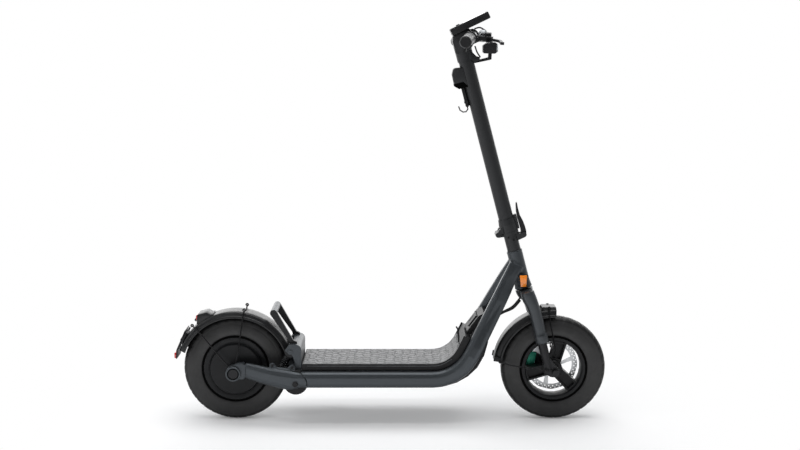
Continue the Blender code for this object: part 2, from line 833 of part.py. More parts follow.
def make_rear_axle(parent):
    """Rear axle with the shoulders inside the carriers and the nuts outside them."""
    face = CARRIER_INNER_Y + CARRIER_THICKNESS + GAP
    outer = face + AXLE_CAP_THICKNESS
    shoulder = CARRIER_INNER_Y - AXLE_EYE_THICKNESS - 2 * GAP
    bearing_face = REAR_DISC_Y - DISC_THICKNESS / 2
    profile = [
        (0.0, outer),
        (AXLE_CAP_RADIUS - 0.002, outer),
        (AXLE_CAP_RADIUS, outer - 0.0015),
        (AXLE_CAP_RADIUS, face),
        (AXLE_RADIUS, face),
        (AXLE_RADIUS, shoulder),
        (AXLE_SHOULDER_RADIUS, shoulder),
        (AXLE_SHOULDER_RADIUS, bearing_face),
        (AXLE_RADIUS, bearing_face),
    ]
    profile += [(radius, -height) for radius, height in reversed(profile)]
    axle = bake(turned(profile, ROUND, closed=False))
    part(moved(axle, turn=Matrix.Rotation(-pi / 2, 4, "X")), "rear_axle", "steel", parent)


def shock_axis():
    """Unit vector from the lower to the upper eye, and the distance between them."""
    run = SHOCK_UPPER_X - SHOCK_LOWER_X
    rise = SHOCK_UPPER_Z - SHOCK_LOWER_Z
    return atan2(run, rise), hypot(run, rise)


def make_shocks(body_frames, rod_frames):
    """Damper body with its eye, rod with its eye, and the coil spring, on both sides."""
    length = shock_axis()[1]
    eye_bore = SHOCK_PIN_RADIUS + GAP
    eye_half = SHOCK_EYE_HALF - GAP
    body_profile = [
        (0.0, -0.004),
        (SHOCK_BODY_RADIUS - 0.0015, -0.004),
        (SHOCK_BODY_RADIUS, -0.006),
        (SHOCK_BODY_RADIUS, -UPPER_PERCH_AT),
        (PERCH_RADIUS, -UPPER_PERCH_AT),
        (PERCH_RADIUS, -UPPER_PERCH_AT - PERCH_THICKNESS),
        (SHOCK_BODY_RADIUS, -UPPER_PERCH_AT - PERCH_THICKNESS),
        (SHOCK_BODY_RADIUS, -SHOCK_BODY_LENGTH),
        (SHOCK_ROD_RADIUS + GAP, -SHOCK_BODY_LENGTH),
        (SHOCK_ROD_RADIUS + GAP, -UPPER_PERCH_AT),
        (0.0, -UPPER_PERCH_AT),
    ]
    body = bake(turned(body_profile, SMALL_ROUND, closed=False))
    body = join(body, cross_rod(0.0, 0.0, -eye_half, eye_half, SHOCK_EYE_RADIUS, SMALL_ROUND))
    body = cut(body, cross_rod(0.0, 0.0, -0.02, 0.02, eye_bore, SMALL_ROUND))
    perch_top = LOWER_PERCH_AT + PERCH_THICKNESS
    rod_top = length - UPPER_PERCH_AT - 0.0120
    rod_profile = [
        (0.0, rod_top),
        (SHOCK_ROD_RADIUS, rod_top),
        (SHOCK_ROD_RADIUS, perch_top),
        (PERCH_RADIUS, perch_top),
        (PERCH_RADIUS, LOWER_PERCH_AT),
        (0.0055, LOWER_PERCH_AT),
        (0.0055, 0.003),
        (0.0, 0.003),
    ]
    piston = bake(turned(rod_profile, SMALL_ROUND, closed=False))
    piston = join(piston, cross_rod(0.0, 0.0, -eye_half, eye_half, SHOCK_EYE_RADIUS, SMALL_ROUND))
    open_bore = (SHOCK_PIN_RADIUS + SLIDE_GAP) / cos(pi / SMALL_ROUND)
    piston = cut(piston, cross_rod(0.0, 0.0, -0.02, 0.02, open_bore, SMALL_ROUND))
    spring_low = perch_top - length + GAP
    spring_high = -UPPER_PERCH_AT - PERCH_THICKNESS - GAP
    spring = spring_shape(spring_low, spring_high)
    for side, name in ((-1, "right"), (1, "left")):
        place = (0.0, side * SHOCK_Y, 0.0)
        body_copy = blank(body.data.copy())
        piston_copy = blank(piston.data.copy())
        spring_copy = blank(spring.data.copy())
        part(moved(body_copy, place), "shock_body_" + name, "black_metal", body_frames[name])
        part(moved(piston_copy, place), "shock_rod_" + name, "steel", rod_frames[name])
        part(moved(spring_copy, place), "shock_spring_" + name, "black_metal", body_frames[name])
    for item in (body, piston, spring):
        bpy.data.objects.remove(item, do_unlink=True)


def spring_shape(low, high):
    """A coil spring along Z between two heights, as one tube with plain ends."""
    wire = SPRING_WIRE / 2
    bottom = low + wire * 1.1
    top = high - wire * 1.1
    count = SPRING_TURNS * SPRING_POINTS_PER_TURN
    points = []
    for i in range(count + 1):
        turn = 2 * pi * i / SPRING_POINTS_PER_TURN
        height = bottom + (top - bottom) * i / count
        points.append((SPRING_MEAN_RADIUS * cos(turn), SPRING_MEAN_RADIUS * sin(turn), height))
    pitch = (top - bottom) / SPRING_TURNS
    print("shock spring: least gap between turns %.2f mm" % ((pitch - SPRING_WIRE) * 1000))
    return pipe(points, wire, resolution=1)


def fender_shell(radius, half, skirt, start, end, steps):
    """A fender round the Y axis from one angle to another, as a thickened shell."""
    shoulder = radius - 0.0050
    profile = [
        (skirt, half),
        (shoulder - 0.0030, half - 0.0006),
        (radius - 0.0010, half - 0.0090),
        (radius, 0.0),
    ]
    profile += [(reach, -height) for reach, height in reversed(profile[:-1])]
    item = turned(profile, steps, closed=False, angle=end - start)
    shell = item.modifiers.new("wall", "SOLIDIFY")
    shell.thickness = FENDER_WALL
    shell.offset = -1.0
    shell.use_even_offset = True
    item = bake(item)
    turn = Matrix.Rotation(pi / 2, 4, "X") @ Matrix.Rotation(start, 4, "Z")
    return moved(item, turn=turn)


def stay_wire(points, eye_radius, eye_from, eye_to, bolt_reach):
    """A bent fender stay: an eye at its middle point and a bolt at each end."""
    wire = pipe(points, STAY_RADIUS, resolution=1)
    middle = points[len(points) // 2]
    wire = join(wire, cross_rod(middle[0], middle[2], eye_from, eye_to, eye_radius))
    for x, y, z in (points[0], points[-1]):
        bolt = cross_rod(x, z, y - STAY_RADIUS - 0.0008, y + bolt_reach, 0.0050, SMALL_ROUND)
        wire = join(wire, bolt)
    return wire


def make_rear_fender(parent):
    """Rear fender in one body with its stays, tail light housing and plate holder."""
    place = (REAR_AXLE_X - PIVOT_X, 0.0, AXLE_Z - PIVOT_Z)
    shell = fender_shell(
        REAR_FENDER_RADIUS, REAR_FENDER_HALF, REAR_FENDER_SKIRT, REAR_FENDER_START, REAR_FENDER_END, 15
    )
    stay_y = REAR_FENDER_HALF + STAY_RADIUS * 0.5
    eye_face = CARRIER_INNER_Y - GAP
    eye_y = eye_face - AXLE_EYE_THICKNESS / 2
    stay = [
        (-0.1180, -stay_y, 0.1200),
        (-0.0950, -stay_y - 0.004, 0.1010),
        (-0.0300, -eye_y, 0.0320),
        (0.0, -eye_y, 0.0),
        (0.0070, -eye_y, 0.0480),
        (0.0190, -stay_y - 0.004, 0.1300),
        (0.0250, -stay_y, 0.1640),
    ]
    wire = stay_wire(stay, 0.0120, -eye_face, -eye_face + AXLE_EYE_THICKNESS, 0.0022)
    wire = cut(wire, cross_rod(0.0, 0.0, -0.1, -0.04, AXLE_RADIUS + GAP))
    other = mirrored(wire)
    body = join(shell, wire, other, tail_light_shape(), plate_holder_shape())
    part(moved(body, place), "rear_fender", "black_plastic", parent)
    make_tail_lens(parent, place)
    make_rear_reflector(parent, place)


def tail_light_shape():
    """Tail light housing saddled on the fender."""
    outline = [(-0.1120, 0.1745), (-0.1145, 0.1640), (-0.1180, 0.1300), (-0.0680, 0.1600)]
    outline += [(-0.0650, 0.1740), (-0.0680, 0.1785)]
    body = plate(outline, 0.058)
    return cut(body, cross_rod(0.0, 0.0, -0.05, 0.05, REAR_FENDER_RADIUS - 0.0012, sides=96))


def make_tail_lens(parent, place):
    """Red lens on the back of the tail light housing."""
    outline = [(-0.1124, 0.1742), (-0.1149, 0.1640), (-0.1170, 0.1455), (-0.1205, 0.1462)]
    outline += [(-0.1185, 0.1640), (-0.1160, 0.1735)]
    part(moved(plate(outline, 0.052), place), "tail_light_lens", "red_lens", parent)


def plate_holder_shape():
    """Holder for a number plate on the fender's tail."""
    outline = [(-0.1590, 0.1080), (-0.1545, 0.1098), (-0.1815, 0.0500), (-0.1810, 0.0260)]
    outline += [(-0.1865, 0.0250), (-0.1875, 0.0520)]
    sheet = plate(outline, 0.120)
    arm_outline = [(-0.1640, 0.0880), (-0.1600, 0.0985), (-0.1420, 0.1100), (-0.1300, 0.1250)]
    arm_outline += [(-0.1220, 0.1180), (-0.1500, 0.0720)]
    arm = plate(arm_outline, 0.034)
    arm = cut(arm, cross_rod(0.0, 0.0, -0.05, 0.05, REAR_FENDER_RADIUS - 0.0012, sides=96))
    return join(sheet, arm)


def make_rear_reflector(parent, place):
    """Red reflector below the plate holder's lip."""
    outline = [(-0.1879, 0.0490), (-0.1871, 0.0275), (-0.1911, 0.0280), (-0.1919, 0.0485)]
    part(moved(plate(outline, 0.070), place), "rear_reflector", "red_lens", parent)


# Chassis
def frame_path():
    """Stations of a frame tube: centre, slope and half sizes of each section."""
    width = TUBE_WIDTH / 2
    height = TUBE_HEIGHT / 2
    stations = []
    for x in (FRAME_END_X - 0.030, -0.100, BEND_X):
        stations.append((x, TUBE_Y, TUBE_Z, 0.0, width, height))
    centre_z = TUBE_Z + BEND_RADIUS
    for i in range(1, 7):
        turn = BEND_END * i / 6
        x = BEND_X + BEND_RADIUS * sin(turn)
        z = centre_z - BEND_RADIUS * cos(turn)
        stations.append((x, TUBE_Y, z, turn, width, height))
    bend_x, bend_z = oblique_point(0.0)
    top_x, top_z = head_point(-0.035)
    length = hypot(top_x - bend_x, top_z - bend_z)
    rise = atan2(top_z - bend_z, top_x - bend_x)
    for share, y, narrow in TUBE_TAPER:
        x = bend_x + cos(rise) * length * share
        z = bend_z + sin(rise) * length * share
        stations.append((x, y, z, rise, width * narrow, height * narrow))
    return stations


def head_point(along, across=0.0):
    """World X and Z of a point given in the frame of the steering axis."""
    x = HEAD_X + across * cos(RAKE) - along * sin(RAKE)
    z = HEAD_Z + across * sin(RAKE) + along * cos(RAKE)
    return x, z


def make_frame(parent):
    """Side tubes, head tube, rear cross member, pivot tube and gussets, welded together."""
    rings = []
    for x, y, z, slope, half_width, half_height in frame_path():
        up = Vector((-sin(slope), 0.0, cos(slope)))
        side = Vector((0.0, 1.0, 0.0))
        rings.append(rounded_ring((x, -y, z), side, up, half_width, half_height))
    tube = loft(rings)
    reach = ARM_END_RADIUS + SWING_GAP
    low = -acos((FRAME_END_X - PIVOT_X) / reach)
    end_shape = [(FRAME_END_X, 0.05)]
    end_shape += arc((PIVOT_X, PIVOT_Z), reach, low, -low, 9)
    end_shape += [(FRAME_END_X, 0.25), (FRAME_END_X - 0.10, 0.25), (FRAME_END_X - 0.10, 0.05)]
    tube = cut(tube, plate(end_shape, 0.30))
    other = mirrored(tube)
    body = join(tube, other, frame_middle(), stand_mount())
    head = rod(head_xyz(-HEAD_TUBE_LENGTH), head_xyz(0.0), HEAD_TUBE_RADIUS, sides=ROUND)
    flare = rod(
        head_xyz(-HEAD_TUBE_LENGTH), head_xyz(-HEAD_TUBE_LENGTH + 0.030),
        HEAD_TUBE_FLARE, HEAD_TUBE_RADIUS - 0.0005, sides=ROUND,
    )
    body = join(body, head, flare)
    body = cut(body, rod(head_xyz(-HEAD_TUBE_LENGTH - 0.02), head_xyz(0.02), STEERER_RADIUS + SLIDE_GAP, sides=ROUND))
    part(body, "main_frame", "gunmetal", parent, radians(40))


def head_xyz(along, across=0.0, y=0.0):
    """World position of a point given in the frame of the steering axis."""
    x, z = head_point(along, across)
    return (x, y, z)


def frame_middle():
    """Rear cross member with the seat of the bracket, the pivot tube and its gussets."""
    top = TUBE_Z + TUBE_HEIGHT / 2
    member_top = top - 0.0020
    member = block((0.022, 2 * TUBE_Y, 0.040), (-0.2290, 0.0, member_top - 0.020))
    seat = block((0.066, 2 * SEAT_HALF_WIDTH, 0.013), (-0.2520, 0.0, top - 0.0065), None, 0.001, 1)
    pivot = cross_rod(PIVOT_X, PIVOT_Z, -PIVOT_TUBE_HALF, PIVOT_TUBE_HALF, PIVOT_TUBE_RADIUS)
    body = join(member, seat, pivot)
    outline = [(-0.2880, 0.1400), (-0.2840, 0.1620), (-0.2250, 0.1620), (-0.2250, 0.1300)]
    outline += [(-0.2700, 0.1240)]
    for side in (-1, 1):
        body = join(body, plate(outline, 0.010, (), "Y", side * 0.0640))
    return cut(body, cross_rod(PIVOT_X, PIVOT_Z, -0.1, 0.1, PIVOT_SHAFT_RADIUS + GAP))


def make_pivot(parent):
    """Pivot shaft of the swing arm with its heads."""
    arm_outer = TUBE_Y + TUBE_WIDTH / 2
    reach = arm_outer + GAP
    head = reach + 0.0035
    profile = [
        (0.0, head),
        (0.0070, head),
        (0.0085, head - 0.0015),
        (0.0085, reach),
        (PIVOT_SHAFT_RADIUS, reach),
    ]
    profile += [(radius, -height) for radius, height in reversed(profile)]
    shaft = bake(turned(profile, ROUND, closed=False))
    shaft = moved(shaft, (PIVOT_X, 0.0, PIVOT_Z), Matrix.Rotation(-pi / 2, 4, "X"))
    part(shaft, "pivot_shaft", "steel", parent)


def deck_line(offset, rise_length):
    """Points of a line parallel to the deck top: flat, round the bend, then up."""
    centre = (BEND_X, TUBE_Z + BEND_RADIUS)
    radius = centre[1] - DECK_TOP_Z + offset
    points = [(DECK_REAR_X, centre[1] - radius)]
    points += arc(centre, radius, -pi / 2, -pi / 2 + BEND_END, 10)
    last = points[-1]
    points.append((last[0] + rise_length * cos(BEND_END), last[1] + rise_length * sin(BEND_END)))
    return points


def deck_strip(upper, lower, half_width, rise_length, rear=0.0):
    """A strip between two depths under the deck top, over the deck's whole length."""
    top = deck_line(upper, rise_length)
    bottom = deck_line(lower, rise_length)
    top[0] = (top[0][0] + rear, top[0][1])
    bottom[0] = (bottom[0][0] + rear, bottom[0][1])
    return plate(top + list(reversed(bottom)), 2 * half_width)


def make_deck(parent):
    """Deck plate with a shallow recess, and the mat in it."""
    bottom = DECK_TOP_Z - TUBE_Z - TUBE_HEIGHT / 2 - GAP
    base = deck_strip(0.0, bottom, DECK_HALF_WIDTH, DECK_RISE)
    recess = deck_strip(-0.010, MAT_THICKNESS, MAT_HALF_WIDTH, DECK_RISE + 0.010, 0.0035)
    part(cut(base, recess), "deck_plate", "black_plastic", parent)
    fit = GAP
    mat = deck_strip(-0.0010, MAT_THICKNESS - fit, MAT_HALF_WIDTH - fit, DECK_RISE, 0.0035 + fit)
    part(mat, "deck_mat", "mat_rubber", parent)


def tray_sections():
    """Sections of the underbody along the deck: inner and outer points and half widths."""
    centre = Vector((BEND_X, 0.0, TUBE_Z + BEND_RADIUS))
    flat_outer = centre.z - TRAY_BOTTOM_Z
    deck_bottom = TUBE_Z + TUBE_HEIGHT / 2
    inner = centre.z - deck_bottom + GAP
    sections = []
    for x in (-0.2160, BEND_X - 0.010):
        sections.append((Vector((x, 0, deck_bottom - GAP)), Vector((x, 0, TRAY_BOTTOM_Z)), TRAY_HALF_WIDTH))
    for i in range(0, 8):
        turn = NOSE_END * i / 7
        away = Vector((sin(turn), 0.0, -cos(turn)))
        outer = flat_outer + (NOSE_RADIUS - flat_outer) * min(1.0, turn / radians(55))
        narrow = max(0.0, (turn - BEND_END * 0.9) / (NOSE_END - BEND_END * 0.9))
        half = TRAY_HALF_WIDTH + (NOSE_HALF_WIDTH - TRAY_HALF_WIDTH) * narrow
        start = inner if turn <= BEND_END else inner / cos(turn - BEND_END)
        sections.append((centre + away * start, centre + away * outer, half))
    return sections


def tray_rings(wall):
    """Rounded sections of the underbody, drawn in by a wall."""
    rings = []
    for inner, outer, half in tray_sections():
        middle = (inner + outer) / 2
        up = (inner - outer).normalized()
        half_height = (inner - outer).length / 2 - wall
        side = Vector((0.0, 1.0, 0.0))
        rings.append(rounded_ring(middle, side, up, half - wall, half_height, 12, 7.0))
    return rings


def make_tray(parent):
    """Underbody tray with its nose; the flat part is an open box under the deck plate."""
    body = loft(tray_rings(0.0))
    room_x = (TRAY_ROOM_REAR, BATTERY_X + BATTERY_SIZE[0] / 2 + 0.004)
    deck_bottom = TUBE_Z + TUBE_HEIGHT / 2
    floor = TRAY_BOTTOM_Z + TRAY_WALL
    size = (room_x[1] - room_x[0], 2 * (TRAY_HALF_WIDTH - TRAY_WALL), deck_bottom - floor + 0.02)
    room = block(size, (sum(room_x) / 2, 0.0, floor + size[2] / 2), None, 0.004, 1)
    part(cut(body, room), "underbody_tray", "black_metal", parent)
    battery = block(BATTERY_SIZE, (BATTERY_X, 0.0, floor + GAP + BATTERY_SIZE[2] / 2), None, 0.003)
    part(battery, "battery_pack", "grey_plastic", parent)


def oblique_point(along, away=0.0):
    """World X and Z beside the rising tubes: along them from the bend's end, away to the front."""
    centre_z = TUBE_Z + BEND_RADIUS
    x = BEND_X + BEND_RADIUS * sin(BEND_END) + along * cos(BEND_END) + away * sin(BEND_END)
    z = centre_z - BEND_RADIUS * cos(BEND_END) + along * sin(BEND_END) - away * cos(BEND_END)
    return x, z


def make_front_cover(parent, lid_frame):
    """Cover between the rising tubes, with the hinged lid of the charge socket."""
    shape = [
        (0.0475, -0.0248), (0.0475, -0.0340), (0.0520, -0.0371), (0.1100, -0.0256),
        (0.1230, -0.0150), (0.1230, 0.0110), (0.0860, 0.0205), (0.0595, -0.0248),
    ]
    cover = plate([oblique_point(along, away) for along, away in shape], 2 * COVER_HALF_WIDTH)
    lug_y = LID_HALF_WIDTH + 0.0022
    along, away = LID_HINGE
    lug = [(along - 0.0030, away + 0.0060), (along - 0.0025, away - 0.0010), (along, away - 0.0026)]
    lug += [(along + 0.0025, away - 0.0010), (along + 0.0040, away + 0.0060)]
    outline = [oblique_point(*point) for point in lug]
    for side in (-1, 1):
        cover = join(cover, plate(outline, 0.0036, (), "Y", side * lug_y))
    hinge_x, hinge_z = oblique_point(along, away)
    cover = cut(cover, cross_rod(hinge_x, hinge_z, -0.036, 0.036, LID_PIN_RADIUS + GAP, SMALL_ROUND))
    part(cover, "front_cover", "black_plastic", parent)
    length = LID_LENGTH
    thick = LID_THICKNESS
    lid = block((length, 2 * LID_HALF_WIDTH, thick), (-length / 2 - 0.0010, 0.0, 0.0), None, 0.0008, 1)
    slot = block((length * 0.62, LID_HALF_WIDTH * 0.9, thick), (-length * 0.55, 0.0, thick * 0.75))
    lid = cut(lid, slot)
    pin = cross_rod(0.0, 0.0, -LID_HALF_WIDTH - 0.0036, LID_HALF_WIDTH + 0.0036, LID_PIN_RADIUS, SMALL_ROUND)
    barrel = cross_rod(0.0, 0.0, -LID_HALF_WIDTH, LID_HALF_WIDTH, LID_THICKNESS / 2, SMALL_ROUND)
    part(join(lid, barrel, pin), "charge_port_cover", "grey_plastic", lid_frame)


def stand_mount():
    """Lug and pin below the left tube that carry the kickstand."""
    bottom = TUBE_Z - TUBE_HEIGHT / 2
    inner = STAND_Y - STAND_HEAD_HALF - GAP
    outline = [(STAND_X + 0.0150, bottom + 0.004), (STAND_X + 0.0090, STAND_Z - 0.004)]
    outline += arc((STAND_X, STAND_Z), 0.0090, radians(-30), radians(-150), 6)
    outline += [(STAND_X - 0.0090, STAND_Z - 0.004), (STAND_X - 0.0150, bottom + 0.004)]
    lug = plate(outline, 0.0050, (), "Y", inner - 0.0025)
    outer = STAND_Y + STAND_HEAD_HALF + GAP
    pin = cross_rod(STAND_X, STAND_Z, inner - 0.002, outer + 0.001, 0.0040, SMALL_ROUND)
    head = cross_rod(STAND_X, STAND_Z, outer, outer + 0.0025, 0.0068, SMALL_ROUND)
    return join(lug, pin, head)


def make_kickstand(parent):
    """Kickstand folded back under the left tube."""
    leg_end = (-STAND_LENGTH * cos(STAND_SPLAY), STAND_LENGTH * sin(STAND_SPLAY), 0.0)
    leg = rod((0.0, 0.0, 0.0), leg_end, STAND_RADIUS, STAND_RADIUS * 0.85, sides=SMALL_ROUND)
    ball = (leg_end[0] * 1.01, leg_end[1] * 1.01, 0.0)
    foot = rod((leg_end[0] * 0.93, leg_end[1] * 0.93, 0.0), ball, STAND_RADIUS * 1.15, sides=SMALL_ROUND)
    head = cross_rod(0.0, 0.0, -STAND_HEAD_HALF, STAND_HEAD_HALF, 0.0088, 20)
    trim = block((0.026, 0.020, 0.026), (0.0, -STAND_HEAD_HALF - 0.010, 0.0))
    leg = cut(leg, trim, block((0.026, 0.020, 0.026), (0.0, STAND_HEAD_HALF + 0.010, 0.0)))
    leg = join(leg, head, foot)
    leg = cut(leg, cross_rod(0.0, 0.0, -0.02, 0.02, 0.0040 + GAP, SMALL_ROUND))
    part(leg, "kickstand", "black_metal", parent)


def bracket_outline():
    """Side outline of the rear bracket."""
    seat = TUBE_Z + TUBE_HEIGHT / 2 + GAP
    outline = [(BRACKET_FRONT_X, seat), (-0.2850, seat), (-0.2825, 0.1950)]
    outline += arc((SHOCK_UPPER_X, SHOCK_UPPER_Z), BRACKET_LOBE, radians(300), radians(125), 10)
    outline += [(-0.2990, BRACKET_TOP_Z)]
    corner = 0.0160
    outline += arc((BRACKET_FRONT_X - corner, BRACKET_TOP_Z - corner), corner, pi / 2, 0.0, 6)
    return outline


def make_rear_bracket(parent):
    """Bracket that carries the upper shock eyes: two plates joined round their front."""
    body = plate(bracket_outline(), 2 * BRACKET_OUTER_Y)
    front = BRACKET_FRONT_X - BRACKET_PLATE
    top = BRACKET_TOP_Z - BRACKET_PLATE
    corner = 0.0100
    room = [(front, 0.150), (-0.340, 0.150), (-0.340, top)]
    room += arc((front - corner, top - corner), corner, pi / 2, 0.0, 5)
    body = cut(body, plate(room, 2 * (BRACKET_OUTER_Y - BRACKET_PLATE)))
    notch_length = 0.060
    notch_size = (notch_length, 2 * REAR_FENDER_HALF + 0.005, 4 * BRACKET_PLATE)
    notch = block(notch_size, (BRACKET_NOTCH_X - notch_length / 2, 0.0, BRACKET_TOP_Z))
    body = cut(body, notch)
    inner = SHOCK_Y - SHOCK_EYE_HALF
    for side in (-1, 1):
        pin = cross_rod(
            SHOCK_UPPER_X, SHOCK_UPPER_Z, side * inner, side * (BRACKET_OUTER_Y + 0.0030), SHOCK_PIN_RADIUS, 16
        )
        head = cross_rod(
            SHOCK_UPPER_X, SHOCK_UPPER_Z,
            side * (BRACKET_OUTER_Y - 0.002), side * (BRACKET_OUTER_Y + 0.0035), 0.0070, 12,
        )
        body = join(body, pin, head)
    part(body, "rear_bracket", "gunmetal", parent)


def make_loop_handle(parent):
    """Loop handle: a round bar on two flat arms with feet on the bracket."""
    seat = BRACKET_TOP_Z + GAP
    arm_y = HANDLE_HALF - HANDLE_ARM_THICKNESS / 2
    outline = [(-0.2760, seat), (-0.2980, seat), (-0.3000, seat + 0.0080)]
    outline += arc((HANDLE_X, HANDLE_Z), HANDLE_ARM_WIDTH * 0.75, radians(215), radians(35), 9)
    outline += [(-0.2870, seat + 0.0100), (-0.2760, seat + 0.0050)]
    bar = cross_rod(HANDLE_X, HANDLE_Z, -HANDLE_HALF, HANDLE_HALF, HANDLE_BAR_RADIUS)
    for side in (-1, 1):
        bar = join(bar, plate(outline, HANDLE_ARM_THICKNESS, (), "Y", side * arm_y))
    part(bar, "loop_handle", "gunmetal", parent)





def make_side_reflectors(parent):
    """Amber reflectors on the lower part of the head tube."""
    outline = [(-0.0085, 0.0170), (0.0125, 0.0170), (0.0080, -0.0180), (-0.0075, -0.0180)]
    for side, name in ((-1, "right"), (1, "left")):
        body = plate(outline, 0.0110, (), "Y", side * 0.0275)
        body = moved(body, (0.0060, 0.0, -0.0900))
        core = rod((0.0, 0.0, -HEAD_TUBE_LENGTH - 0.01), (0.0, 0.0, 0.01), HEAD_TUBE_RADIUS + GAP, sides=72)
        flare_low = (0.0, 0.0, -HEAD_TUBE_LENGTH)
        flare_high = (0.0, 0.0, -HEAD_TUBE_LENGTH + 0.030)
        flare = rod(flare_low, flare_high, HEAD_TUBE_FLARE + GAP, HEAD_TUBE_RADIUS - 0.0002, sides=72)
        body = cut(body, core, flare)
        part(body, "side_reflector_" + name, "amber", parent)


# Fork
def make_fork_crown(parent):
    """Crown in one body with its steerer tube and both upper legs."""
    y = LEG_Y
    radius = UPPER_LEG_TOP_RADIUS + 0.0015
    outline = arc((LEG_OFFSET, y), radius, radians(-25), radians(205), SMALL_ROUND)
    outline += [(-0.0215, 0.0220), (-0.0235, 0.0), (-0.0215, -0.0220)]
    outline += arc((LEG_OFFSET, -y), radius, radians(155), radians(385), SMALL_ROUND)
    outline += [(0.0300, -0.0220), (0.0300, 0.0220)]
    middle = CROWN_TOP - CROWN_THICKNESS / 2
    crown = plate(outline, CROWN_THICKNESS, (), "Z", middle)
    rounding = crown.modifiers.new("rounding", "BEVEL")
    rounding.width = 0.004
    rounding.segments = 1
    rounding.limit_method = "ANGLE"
    crown = bake(crown)
    steerer = rod((0, 0, CROWN_TOP - 0.015), (0, 0, STEERER_TOP), STEERER_RADIUS, sides=ROUND)
    leg = upper_leg_shape()
    other = mirrored(leg)
    crown = join(crown, steerer, leg, other)
    bore = rod((0, 0, CROWN_TOP - CROWN_THICKNESS - 0.01), (0, 0, STEERER_TOP + 0.01), 0.0118, sides=ROUND)
    part(cut(crown, bore), "fork_crown", "gunmetal", parent)


def upper_leg_shape():
    """Right upper leg: flared at the crown, with a collar at the lower end."""
    crown_bottom = CROWN_TOP - CROWN_THICKNESS
    bore = LOWER_LEG_RADIUS + SLIDE_GAP
    bore_top = crown_bottom - 0.004
    profile = [
        (0.0, crown_bottom + 0.004),
        (UPPER_LEG_TOP_RADIUS, crown_bottom + 0.004),
        (UPPER_LEG_TOP_RADIUS - 0.0010, crown_bottom - 0.006),
        (UPPER_LEG_RADIUS + 0.0008, crown_bottom - 0.026),
        (UPPER_LEG_RADIUS - 0.0002, UPPER_LEG_END + 0.022),
        (LEG_COLLAR_RADIUS, UPPER_LEG_END + 0.013),
        (LEG_COLLAR_RADIUS, UPPER_LEG_END),
        (bore, UPPER_LEG_END),
        (bore, bore_top),
        (0.0, bore_top),
    ]
    leg = bake(turned(profile, ROUND, closed=False))
    return moved(leg, (LEG_OFFSET, -LEG_Y, 0.0))


def axle_in_steering_frame():
    """Front axle in the frame of the steering axis, as across and along."""
    run = FRONT_AXLE_X - HEAD_X
    rise = AXLE_Z - HEAD_Z
    across = run * cos(RAKE) + rise * sin(RAKE)
    along = -run * sin(RAKE) + rise * cos(RAKE)
    return across, along


def lower_leg_shape(axle_x, axle_z):
    """Right lower leg with its dropout about the axle."""
    top = CROWN_TOP - CROWN_THICKNESS - 0.0045 - FORK_TRAVEL - 0.0020
    leg = rod((LEG_OFFSET, -LEG_Y, axle_z + 0.010), (LEG_OFFSET, -LEG_Y, top), LOWER_LEG_RADIUS, sides=ROUND)
    outline = arc((axle_x, axle_z), 0.0150, radians(-140), radians(40), 10)
    outline += [(LEG_OFFSET + LOWER_LEG_RADIUS + 0.004, axle_z + 0.030)]
    outline += [(LEG_OFFSET + LOWER_LEG_RADIUS - 0.002, axle_z + 0.046)]
    outline += [(LEG_OFFSET - LOWER_LEG_RADIUS, axle_z + 0.030), (LEG_OFFSET - LOWER_LEG_RADIUS, axle_z + 0.004)]
    dropout = plate(outline, 2 * DROPOUT_HALF, (), "Y", -LEG_Y)
    leg = join(leg, dropout)
    return cut(leg, cross_rod(axle_x, axle_z, -0.09, -0.03, AXLE_RADIUS + GAP))


def make_lower_legs(parent):
    """Both lower legs, the left one with the lugs that carry the caliper."""
    axle_x, axle_z = axle_in_steering_frame()
    right = lower_leg_shape(axle_x, axle_z)
    left = mirrored(right)
    part(right, "fork_lower_leg_right", "black_metal", parent)
    lug_face = FRONT_DISC_Y + CALIPER_REACH + GAP
    lug_back = LEG_Y - 0.0005
    outline = [
        (LEG_OFFSET - 0.004, axle_z + 0.062), (LEG_OFFSET - 0.026, axle_z + 0.060),
        (LEG_OFFSET - 0.034, axle_z + 0.046), (LEG_OFFSET - 0.034, axle_z + 0.004),
        (LEG_OFFSET - 0.026, axle_z - 0.004), (LEG_OFFSET - 0.004, axle_z + 0.006),
    ]
    lug = plate(outline, lug_back - lug_face, (), "Y", (lug_back + lug_face) / 2)
    left = join(left, lug)
    part(left, "fork_lower_leg_left", "black_metal", parent)


def make_front_axle(parent):
    """Axle through both dropouts, with shoulders against the bearings and heads outside."""
    inner = LEG_Y - LOWER_LEG_RADIUS - GAP
    outer = LEG_Y + DROPOUT_HALF + EYE_THICKNESS + 2 * GAP
    profile = [
        (0.0, outer + 0.007),
        (0.0095, outer + 0.007),
        (0.0095, outer),
        (AXLE_RADIUS, outer),
        (AXLE_RADIUS, inner),
        (AXLE_RADIUS + 0.0035, inner),
        (AXLE_RADIUS + 0.0035, HUB_HALF + GAP),
        (AXLE_RADIUS, HUB_HALF + GAP),
    ]
    profile += [(radius, -height) for radius, height in reversed(profile)]
    axle = bake(turned(profile, ROUND, closed=False))
    axle = moved(axle, turn=Matrix.Rotation(-pi / 2, 4, "X"))
    part(axle, "front_axle", "steel", parent)


def make_front_brake(parent):
    """Green caliper on the left lower leg, behind the leg."""
    shape = caliper_shape(FRONT_DISC_RADIUS, FRONT_DISC_Y, 0.0110, CALIPER_REACH, 0.052)
    turn = Matrix.Rotation(radians(12), 4, "Y")
    part(moved(shape, turn=turn), "front_brake_caliper", "green_metal", parent)


